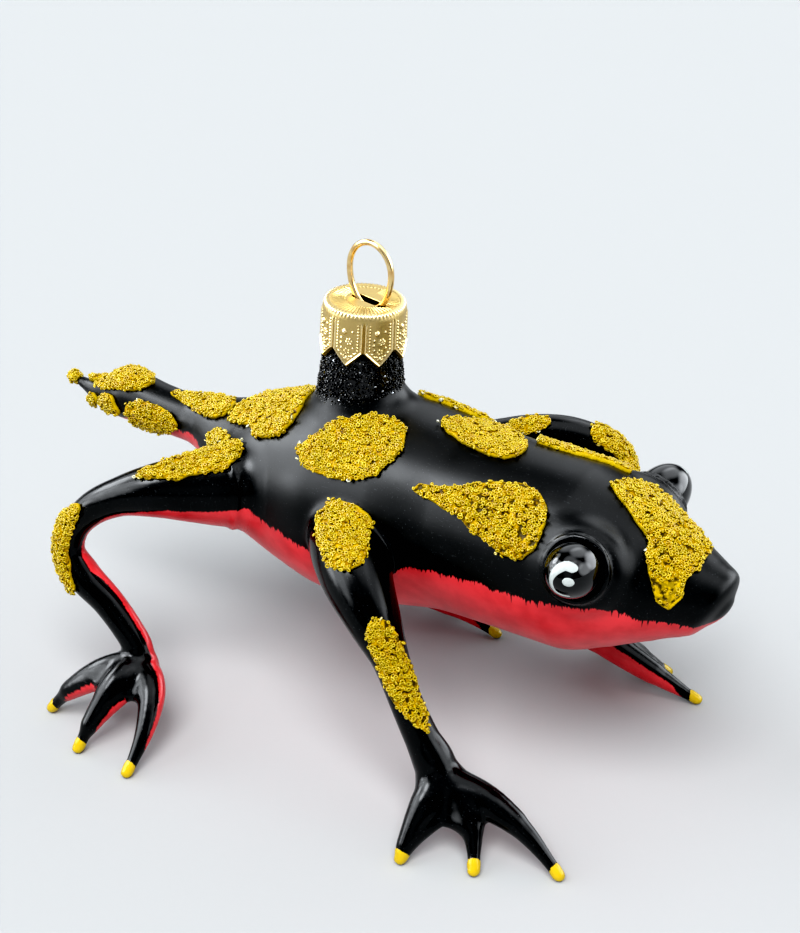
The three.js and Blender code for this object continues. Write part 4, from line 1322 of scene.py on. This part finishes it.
def grit_pad(node, tree):
    """The bed of paint under a patch: the solid plate, softened and lowered onto the glass."""
    mesh = facing_out(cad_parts[node].data.copy())
    pad = modified(mesh, "REMESH", mode="VOXEL", voxel_size=PAD_VOXEL)
    pad = modified(pad, "SMOOTH", factor=0.5, iterations=4)
    bed, rim, pit, places = [], [], [], []
    low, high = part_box(node)
    bald_top = (low.z + BALD.get(node, 0.0) * (high.z - low.z)) / MM
    for vertex in pad.vertices:
        place, normal, _, _ = tree.find_nearest(vertex.co)
        facing = vertex.normal.dot(normal)
        own = vertex.co / MM
        bald = 1 - ramped(own.z, bald_top - BALD_EDGE, bald_top)
        limit = PITS.get(node, PIT_LIMIT) - BALD_PITS * bald
        pitted = noise.noise(own * 1.5 + Vector((9, 4, 2)))
        hollow = ramped(pitted, limit, limit + PIT_EDGE) * ramped(facing, 0.7, 0.9)
        crown = math.sqrt(ramped(facing, -0.25, 0.85))
        height = (PAD_TOP + PAD_ROUGH * noise.noise(own * 0.8)) * crown - PIT_DEPTH * hollow - PAD_SINK
        wobble = noise.noise_vector(own * 0.45) * (PAD_WOBBLE * MM)
        wobble -= normal * wobble.dot(normal)
        places.append(place + normal * (height * MM) + wobble)
        bare = min(0.5 + 0.7 * noise.noise(own * 0.22 + Vector((3, 8, 5))), 0.72)
        bed.append(ramped(facing, bare, bare + 0.2) * (1 - hollow) * (1 - BALD_SHARE * bald))
        rim.append(max(1 - ramped(facing, 0.55, 0.85), 0.5 * bald))
        pit.append(hollow)
    for vertex, place in zip(pad.vertices, places):
        vertex.co = place
    pad.shade_smooth()
    for name, values in (("bed", bed), ("rim", rim), ("pit", pit)):
        store(pad, name, values)
    return pad


def grit_ball(node):
    """The round blob of grit at the tail's end."""
    low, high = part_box(node)
    ball = bpy.data.meshes.new("ball")
    work = bmesh.new()
    bmesh.ops.create_icosphere(work, subdivisions=4, radius=min(high - low) / 2 - 0.25 * MM,
                               matrix=Matrix.Translation((low + high) / 2))
    work.to_mesh(ball)
    work.free()
    ball.shade_smooth()
    for name, value in (("bed", 1.0), ("rim", 0.3), ("pit", 0.0)):
        store(ball, name, np.full(len(ball.vertices), value))
    return ball


def with_bed(mesh, values):
    """A copy of a mesh with other marks for where grains may lie."""
    copy = mesh.copy()
    copy.attributes["bed"].data.foreach_set("value", np.asarray(values, np.float32))
    return copy


def read(mesh, name):
    values = np.empty(len(mesh.vertices), np.float32)
    mesh.attributes[name].data.foreach_get("value", values)
    return values


class ORNAMENT_OT_grit(Operator):
    """Patches of glass beads in yellow paint"""

    bl_idname = "ornament.grit"
    bl_label = "Grit patches"

    def execute(self, context):
        settings = context.scene.ornament_grit
        paint, grain, clear = grit_paint(settings), grit_grain(settings), clear_grain()
        beads = scatter_tree("strew_beads", bead_shape)
        tree = skin_tree()
        noise.seed_set(WOBBLE_SEED)
        nodes = sorted(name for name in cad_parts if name.startswith("grit_"))
        for number, node in enumerate(nodes):
            pad = grit_ball(node) if node == BALL_NODE else grit_pad(node, tree)
            common = {"Size": settings.bead, "Lift": settings.lift, "Tilt": settings.tilt}
            painted = strew(pad.copy(), beads, Spacing=settings.spacing, Grain=grain,
                            Seed=settings.seed + number, **common)
            edge = np.clip(read(pad, "rim") * 2.4 - 1.2, 0, 1) * (read(pad, "bed") > 0.02)
            loose = strew(with_bed(pad, edge), beads, Grain=clear, Seed=settings.seed + 100 + number,
                          **{**common, **LOOSE_BEADS})
            pad.materials.clear()
            pad.materials.append(paint)
            mesh = joined(pad, painted, loose)
            new_piece(node.replace("grit_", "patch_"), mesh, (), [node])
        return {"FINISHED"}


class ORNAMENT_OT_pike(Operator):
    """Band of black glitter round the pike"""

    bl_idname = "ornament.pike"
    bl_label = "Pike"

    def execute(self, context):
        settings = context.scene.ornament_pike
        heights, radii = zip(*PIKE_NECK)
        rows, sides = 26, 128
        loops = []
        for share in np.arange(rows + 1) / rows:
            loop = []
            for side in range(sides):
                turn = 2 * math.pi * side / sides
                around = Vector((math.cos(turn) * 2.2, math.sin(turn) * 2.2, 7.0))
                low = GLITTER_LOW + GLITTER_RAGGED * noise.noise(around)
                height = low + (GLITTER_TOP - low) * share
                loop.append(on_pike(np.interp(height, heights, radii) + GLITTER_GLUE, turn, height))
            loops.append(loop)
        band = facing_out(new_mesh("glitter_band", *swept(loops)))
        store(band, "bed", np.ones(len(band.vertices)))
        black = glitter(settings)
        crystals = scatter_tree("strew_crystals", crystal_shape)
        grains = strew(band.copy(), crystals, Size=settings.crystal, Grain=black, **GLITTER_GRAINS)
        store(band, "shade", np.zeros(len(band.vertices)))
        band.materials.append(black)
        new_piece("pike_glitter", joined(band, grains), (), ["pike"])
        return {"FINISHED"}


# The cap, along the pike's axis: the metal's outer surface from the middle of the top outwards.
CAP_RADIUS = 6.25
CAP_TOP = 16.7
CAP_TIPS = 8.05
CAP_TURN = -11.0  # degrees that the lappets stand round from the animal's right side
CAP_WALL = 0.32
LAPPETS = 8
CAP_BEND = 1.1
CAP_FLARE = 0.1  # how much wider the lappets stand at their tips
LAPPET_POINT = 2.5
TOP_SINK = 0.04  # how far the top lies below the rim
DOTS_TURN = 123.0  # the part of the top that carries dots in place of rays, in degrees
DOTS_HALF = 36.0
TOP_DOTS = 48
RAYS = 56  # grooves round the top
RAY_DEPTH = 0.17
RAY_START = 2.7
RAY_FADE = 0.5
BEADS = 64  # beading round the bend
# Raised lines: where they lie, their half width and height. On a lappet, from its edge inwards.
DOT_RING = (4.3, 0.22, 0.16)
BEAD_RING = (0.75, 0.3, 0.2)
LAPPET_FOLD, LAPPET_RIB, LAPPET_KNURL = (0.0, 0.12, -0.16), (0.3, 0.15, 0.24), (0.82, 0.15, 0.2)
KNURL_PITCH = 0.5
DOT_BULGE = 0.9
RELIEF_FADE = 0.7  # over what height the relief dies out below the bend
# Beading on a lappet: across it, height, radius.
LAPPET_DOTS = [
    (-0.5, 13.8, 0.4), (0.8, 13.9, 0.2), (-0.95, 12.7, 0.22), (-1.0, 11.9, 0.22), (-0.9, 11.1, 0.2),
    *((0.3 + 0.42 * math.cos(a), 12.3 + 0.42 * math.sin(a), 0.2)
      for a in np.linspace(0.2, 0.2 + 2 * math.pi, 6, endpoint=False)),
    (0.3, 12.3, 0.18), (0.95, 11.3, 0.18),
    *((0.36 * math.cos(a), 10.7 + 0.36 * math.sin(a), 0.17)
      for a in np.linspace(0.6, 0.6 + 2 * math.pi, 5, endpoint=False)),
    (0.0, 9.75, 0.24), (-0.42, 9.95, 0.15), (0.42, 9.95, 0.15),
]
SLOT_LENGTH = 6.2
SLOT_WIDTH = 1.7
RING_TURN = -5.5
CAP_COLUMNS = 512
CAP_MIDDLE = 0.02  # radius of the small ring that the top's pole closes


def raised_line(value, centre, width, height):
    return height * np.exp(-(((value - centre) / width) ** 2))


def cap_surface(turn):
    """Radius, height, relief and the relief's direction down the cap, at one angle round it."""
    sector = 2 * math.pi / LAPPETS
    across = ((turn + math.pi / 2 - math.radians(CAP_TURN)) % sector - sector / 2) * CAP_RADIUS
    half = sector / 2 * CAP_RADIUS
    lower = CAP_TIPS + LAPPET_POINT * abs(across) / half
    shoulder = CAP_TOP - CAP_BEND

    top_out = np.linspace(CAP_MIDDLE, CAP_RADIUS - CAP_BEND, 46)
    if abs((math.degrees(turn) - DOTS_TURN + 180) % 360 - 180) < DOTS_HALF:
        ripple = (0.5 + 0.5 * math.cos(TOP_DOTS * turn)) ** 2
        top_relief = ripple * raised_line(top_out, *DOT_RING) - TOP_SINK
    else:
        groove = RAY_DEPTH * (0.5 + 0.5 * math.cos(RAYS * turn)) ** 2
        top_relief = -groove * np.clip((top_out - RAY_START) / RAY_FADE, 0, 1) - TOP_SINK

    bend = np.linspace(0, math.pi / 2, 14)[1:]
    bend_relief = abs(math.cos(BEADS / 2 * turn)) ** 0.7 * raised_line(bend, *BEAD_RING)

    side_high = np.linspace(shoulder, lower, 80)[1:]
    side_out = CAP_RADIUS + CAP_FLARE * np.linspace(0, 1, len(side_high)) ** 2
    slant = math.cos(math.atan(LAPPET_POINT / half))
    inner = np.minimum(half - abs(across), (side_high - lower) * slant)
    knurl = 0.5 + 0.5 * np.cos(side_high * 2 * math.pi / KNURL_PITCH)
    relief = raised_line(inner, *LAPPET_RIB) + raised_line(inner, *LAPPET_KNURL) * knurl
    relief += raised_line(inner, *LAPPET_FOLD)
    for dot_across, dot_high, radius in LAPPET_DOTS:
        away = np.hypot(across - dot_across, side_high - dot_high)
        relief += DOT_BULGE * np.sqrt(np.maximum(radius**2 - away**2, 0))
    relief *= np.clip((shoulder - side_high) / RELIEF_FADE, 0, 1)
    out = np.concatenate([top_out, CAP_RADIUS - CAP_BEND + CAP_BEND * np.sin(bend), side_out])
    high = np.concatenate([0 * top_out + CAP_TOP, shoulder + CAP_BEND * np.cos(bend), side_high])
    raised = np.concatenate([top_relief, bend_relief, relief])
    lean_out = np.concatenate([0 * top_out, np.sin(bend), 0 * side_high + 1])
    lean_up = np.concatenate([0 * top_out + 1, np.cos(bend), 0 * side_high])
    return out, high, raised, lean_out, lean_up


def cap_mesh():
    """The pressed cap: outer surface with its relief and a plain inner one; the slot on top is not cut
    here.
    """
    turns = [2 * math.pi * column / CAP_COLUMNS for column in range(CAP_COLUMNS)]
    columns = [(turn, *cap_surface(turn)) for turn in turns]
    rows = range(len(columns[0][1]))
    loops, raised = [], []
    for row in rows:
        loops.append([
            on_pike(out[row] + relief[row] * lean_out[row], turn,
                    high[row] + relief[row] * lean_up[row])
            for turn, out, high, relief, lean_out, lean_up in columns])
        raised += [relief[row] for _, _, _, relief, _, _ in columns]
    for row in rows[::-4]:
        loops.append([
            on_pike(max(out[row] - CAP_WALL * lean_out[row], CAP_MIDDLE), turn,
                    high[row] - CAP_WALL * lean_up[row])
            for turn, out, high, _, lean_out, lean_up in columns])
        raised += [-0.1] * CAP_COLUMNS
    mesh = new_mesh("cap_metal", *swept(loops))
    store(mesh, "raised_mm", raised + [0.0, -0.1])
    return mesh


def slot_cutter():
    """A rod of the slot's outline, with round ends."""
    straight = SLOT_LENGTH / 2 - SLOT_WIDTH / 2
    outline = [
        (end * (straight + SLOT_WIDTH / 2 * math.cos(a)), end * SLOT_WIDTH / 2 * math.sin(a))
        for end in (1, -1) for a in np.linspace(-math.pi / 2, math.pi / 2, 9)]
    along, beside = slot_ways()
    middle = PIKE_FOOT + PIKE_SIDE * RING_OFFSET
    loops = [
        [middle + PIKE_AXIS * height + along * x + beside * y for x, y in outline]
        for height in (CAP_TOP - 2, CAP_TOP + 2)]
    return facing_out(new_mesh("slot", *swept(loops)))


def slot_ways():
    """Along the slot and beside it, square to the pike's axis."""
    turn = math.radians(RING_TURN)
    return (PIKE_SIDE * math.cos(turn) + ACROSS * math.sin(turn),
            ACROSS * math.cos(turn) - PIKE_SIDE * math.sin(turn))


class ORNAMENT_OT_cap(Operator):
    """Pressed metal cap with pointed lappets"""

    bl_idname = "ornament.cap"
    bl_label = "Cap"

    def execute(self, context):
        cutter = holder_of(slot_cutter())
        mesh = modified(facing_out(cap_mesh()), "BOOLEAN",
                        operation="DIFFERENCE", solver="EXACT", object=cutter)
        bpy.data.objects.remove(cutter)
        mesh.materials.clear()
        new_piece("pressed_cap", mesh,
                  [pressed_metal(context.scene.ornament_pike)], ["cap"])
        return {"FINISHED"}


# The hanging ring: an oval of wire whose ends pass down through the slot.
WIRE = 0.95
RING_HALF_WIDTH = 3.95
RING_CENTRE = 21.4
RING_RISE = 4.4
RING_DROP = 6.0
RING_OFFSET = 0.7
WIRE_END = 12.6
WIRE_SPREAD = 2.5
RING_REACH = 0.82  # the share of a quarter turn that the oval runs on below its middle


def ring_line():
    """Stations of the wire, across and along the pike's axis."""
    lowest = RING_REACH * math.pi / 2
    oval = []
    for turn in np.linspace(-lowest, math.pi + lowest, 49):
        rise = RING_RISE if math.sin(turn) > 0 else RING_DROP
        oval.append((RING_HALF_WIDTH * math.cos(turn), RING_CENTRE + rise * math.sin(turn)))
    foot = oval[0]
    leg = [(WIRE_SPREAD, WIRE_END), ((foot[0] + WIRE_SPREAD) / 2, (foot[1] + WIRE_END) / 2)]
    return [*leg, *oval, *((-across, height) for across, height in reversed(leg))]


class ORNAMENT_OT_ring(Operator):
    """Wire ring that the ornament hangs from"""

    bl_idname = "ornament.ring"
    bl_label = "Hanging ring"

    def execute(self, context):
        across, beside = slot_ways()
        start = PIKE_FOOT + PIKE_SIDE * RING_OFFSET
        places = [start + across * x + PIKE_AXIS * height for x, height in ring_line()]
        line = spline(places, np.linspace(0, 1, 260))
        loops = [
            circle(point, np.cross(unit(ahead), beside), beside, WIRE / 2, 18)
            for point, ahead in zip(line, np.gradient(line, axis=0))]
        mesh = facing_out(new_mesh("wire_ring", *swept(loops)))
        new_piece("wire_ring", mesh,
                  [ring_wire(context.scene.ornament_pike)], ["hanging_ring"])
        return {"FINISHED"}


# The camera: its place in the ornament's own axes, the way it looks, and its lens.
CAMERA_PLACE = np.array([158.23, -227.81, 185.74])
CAMERA_TURN = 33.537
CAMERA_RISE = 27.357
CAMERA_LENS = 77.52
FLOOR_SIZE = 14.0
BLACK_POINT = 0.016  # light below this is black in the picture


def floor_material(settings):
    """Matt pale paper."""
    finish = Finish("pale_floor", {"Roughness": 0.9, "Specular IOR Level": 0.0})
    place = finish.add("ShaderNodeTexCoord").outputs["Object"]
    grain = finish.times(finish.noise(place, 900.0, 3.0, 0.6), 0.12)
    finish.give("Base Color", finish.blend(grain, (*settings.floor, 1), linear(170, 172, 173)))
    return finish.material


# Soft light all round. Each glow's turn from the snout towards the animal's left, its rise,
# its width, all in degrees, and its strength.
GLOWS = [
    (-178, 14, 9, 2.1), (-178, 32, 9, 6.0), (-160, 8, 9, 2.1), (-160, 26, 9, 3.2), (-160, 44, 9, 1.4),
    (-146, 3, 9, 3.5), (-142, 16, 9, 2.6), (-142, 32, 9, 3.4), (-142, 52, 9, 2.4),
    (-122, 18, 9, 2.9), (-122, 36, 9, 2.4), (-122, 54, 9, 9.0), (165, 32, 10, 1.6),
    (120, 28, 16, 0.8), (90, 45, 16, 1.4), (60, 12, 18, 3.0), (20, 20, 18, 2.2), (10, 50, 16, 1.0),
    (0, 85, 20, 1.2), (-60, 35, 25, 0.2), (-70, 8, 20, 0.15),
]
FILL_FROM = (0.66, -1.26, 1.86)
FILL_SPREAD = 36  # degrees across
GLOW_POWER = 1.25
GLOW_SPILL = 0.25  # how much of the glows' light falls on matt surfaces
GLOW_EDGE = 1.6  # a glow ends at this many times its width
GLOW_FULL = 0.7  # and is even within this many


def fill_light(power):
    """A broad light in front, flagged off so that the glass doesn't mirror it."""
    light = bpy.data.lights.new("fill", "SUN")
    light.angle = math.radians(FILL_SPREAD)
    light.energy = power
    holder = bpy.data.objects.new("fill", light)
    holder.location = FILL_FROM
    holder.rotation_mode = "QUATERNION"
    holder.rotation_quaternion = (-Vector(FILL_FROM)).to_track_quat("-Z", "Y")
    holder.visible_glossy = False
    bpy.context.scene.collection.objects.link(holder)


def studio_world(settings):
    """A dim room with wide soft glows."""
    world = bpy.data.worlds.new("studio")
    world.use_nodes = True
    nodes = Nodes(world.node_tree)
    way = nodes.add("ShaderNodeTexCoord").outputs["Generated"]
    glows = 0.0
    for turn, rise, width, strength in GLOWS:
        a, b = math.radians(turn), math.radians(rise)
        direction = (math.cos(b) * math.cos(a), math.cos(b) * math.sin(a), math.sin(b))
        along = nodes.add("ShaderNodeVectorMath", {0: way, 1: direction},
                          operation="DOT_PRODUCT").outputs["Value"]
        spread = nodes.add("ShaderNodeMapRange", {
            "Value": along, "From Min": math.cos(math.radians(width * GLOW_EDGE)),
            "From Max": math.cos(math.radians(width * GLOW_FULL)), "To Max": strength * GLOW_POWER},
            interpolation_type="SMOOTHSTEP")
        glows = nodes.math("ADD", spread.outputs[0], glows)
    mirrored = nodes.add("ShaderNodeLightPath").outputs["Is Glossy Ray"]
    seen = nodes.math("ADD", glows, settings.room)
    spilt = nodes.times_plus(glows, GLOW_SPILL, settings.ambient)
    light = nodes.times_plus(nodes.math("SUBTRACT", seen, spilt), mirrored, spilt)
    background = world.node_tree.nodes["Background"]
    background.inputs["Color"].default_value = linear(247, 251, 255)
    nodes.feed(background.inputs["Strength"], light)
    return world


class ORNAMENT_OT_stage(Operator):
    """Pale floor, soft light and the camera"""

    bl_idname = "ornament.stage"
    bl_label = "Stage"

    def execute(self, context):
        settings = context.scene.ornament_stage
        scene = context.scene
        data = bpy.data.cameras.new("camera")
        data.lens = CAMERA_LENS
        data.sensor_width = 36.0
        data.clip_start, data.clip_end = 0.01, 20.0
        camera = bpy.data.objects.new("camera", data)
        turn, rise = math.radians(CAMERA_TURN), math.radians(CAMERA_RISE)
        back = Vector((math.sin(turn) * math.cos(rise), -math.cos(turn) * math.cos(rise), math.sin(rise)))
        camera.location = (CAMERA_PLACE + HOME) * MM
        camera.rotation_mode = "QUATERNION"
        camera.rotation_quaternion = (-back).to_track_quat("-Z", "Y")
        scene.collection.objects.link(camera)
        scene.camera = camera

        half = FLOOR_SIZE / 2
        mesh = bpy.data.meshes.new("floor")
        mesh.from_pydata([(-half, -half, 0), (half, -half, 0), (half, half, 0), (-half, half, 0)],
                         [], [(0, 1, 2, 3)])
        mesh.materials.append(floor_material(settings))
        floor = bpy.data.objects.new("floor", mesh)
        scene.collection.objects.link(floor)

        fill_light(settings.fill)
        scene.world = studio_world(settings)
        scene.view_settings.view_transform = "Standard"
        scene.view_settings.look = "High Contrast"
        scene.view_settings.use_curve_mapping = True
        scene.view_settings.curve_mapping.black_level = (BLACK_POINT,) * 3
        scene.view_settings.curve_mapping.update()
        return {"FINISHED"}


class ORNAMENT_PT_panel(Panel):
    """Sidebar list of the ornament's sizes, colours and parts"""

    bl_idname = "ORNAMENT_PT_panel"
    bl_label = "Glass salamander"
    bl_space_type = "VIEW_3D"
    bl_region_type = "UI"
    bl_category = "Ornament"

    def draw(self, context):
        for kind, (settings_class, operators) in PARTS.items():
            box = self.layout.box()
            for name in settings_class.__annotations__:
                box.prop(getattr(context.scene, kind), name)
            for operator in operators:
                box.operator(operator.bl_idname)


# Each group's settings and the operators that use them, in the order in which they run.
PARTS = {
    "ornament_stage": (StageSettings, [ORNAMENT_OT_stage]),
    "ornament_glass": (GlassSettings, [ORNAMENT_OT_glass_body, ORNAMENT_OT_eyes]),
    "ornament_grit": (GritSettings, [ORNAMENT_OT_grit]),
    "ornament_pike": (PikeSettings, [ORNAMENT_OT_pike, ORNAMENT_OT_cap, ORNAMENT_OT_ring]),
}
OPERATORS = [operator for _, operators in PARTS.values() for operator in operators]
CLASSES = [*(settings for settings, _ in PARTS.values()), *OPERATORS, ORNAMENT_PT_panel]


def register():
    for kind in CLASSES:
        bpy.utils.register_class(kind)
    for name, (settings, _) in PARTS.items():
        setattr(bpy.types.Scene, name, PointerProperty(type=settings))


def unregister():
    for name in PARTS:
        delattr(bpy.types.Scene, name)
    for kind in reversed(CLASSES):
        bpy.utils.unregister_class(kind)


def main():
    register()
    for operator in OPERATORS:
        family, name = operator.bl_idname.split(".")
        getattr(getattr(bpy.ops, family), name)()


if __name__ == "__main__":
    main()
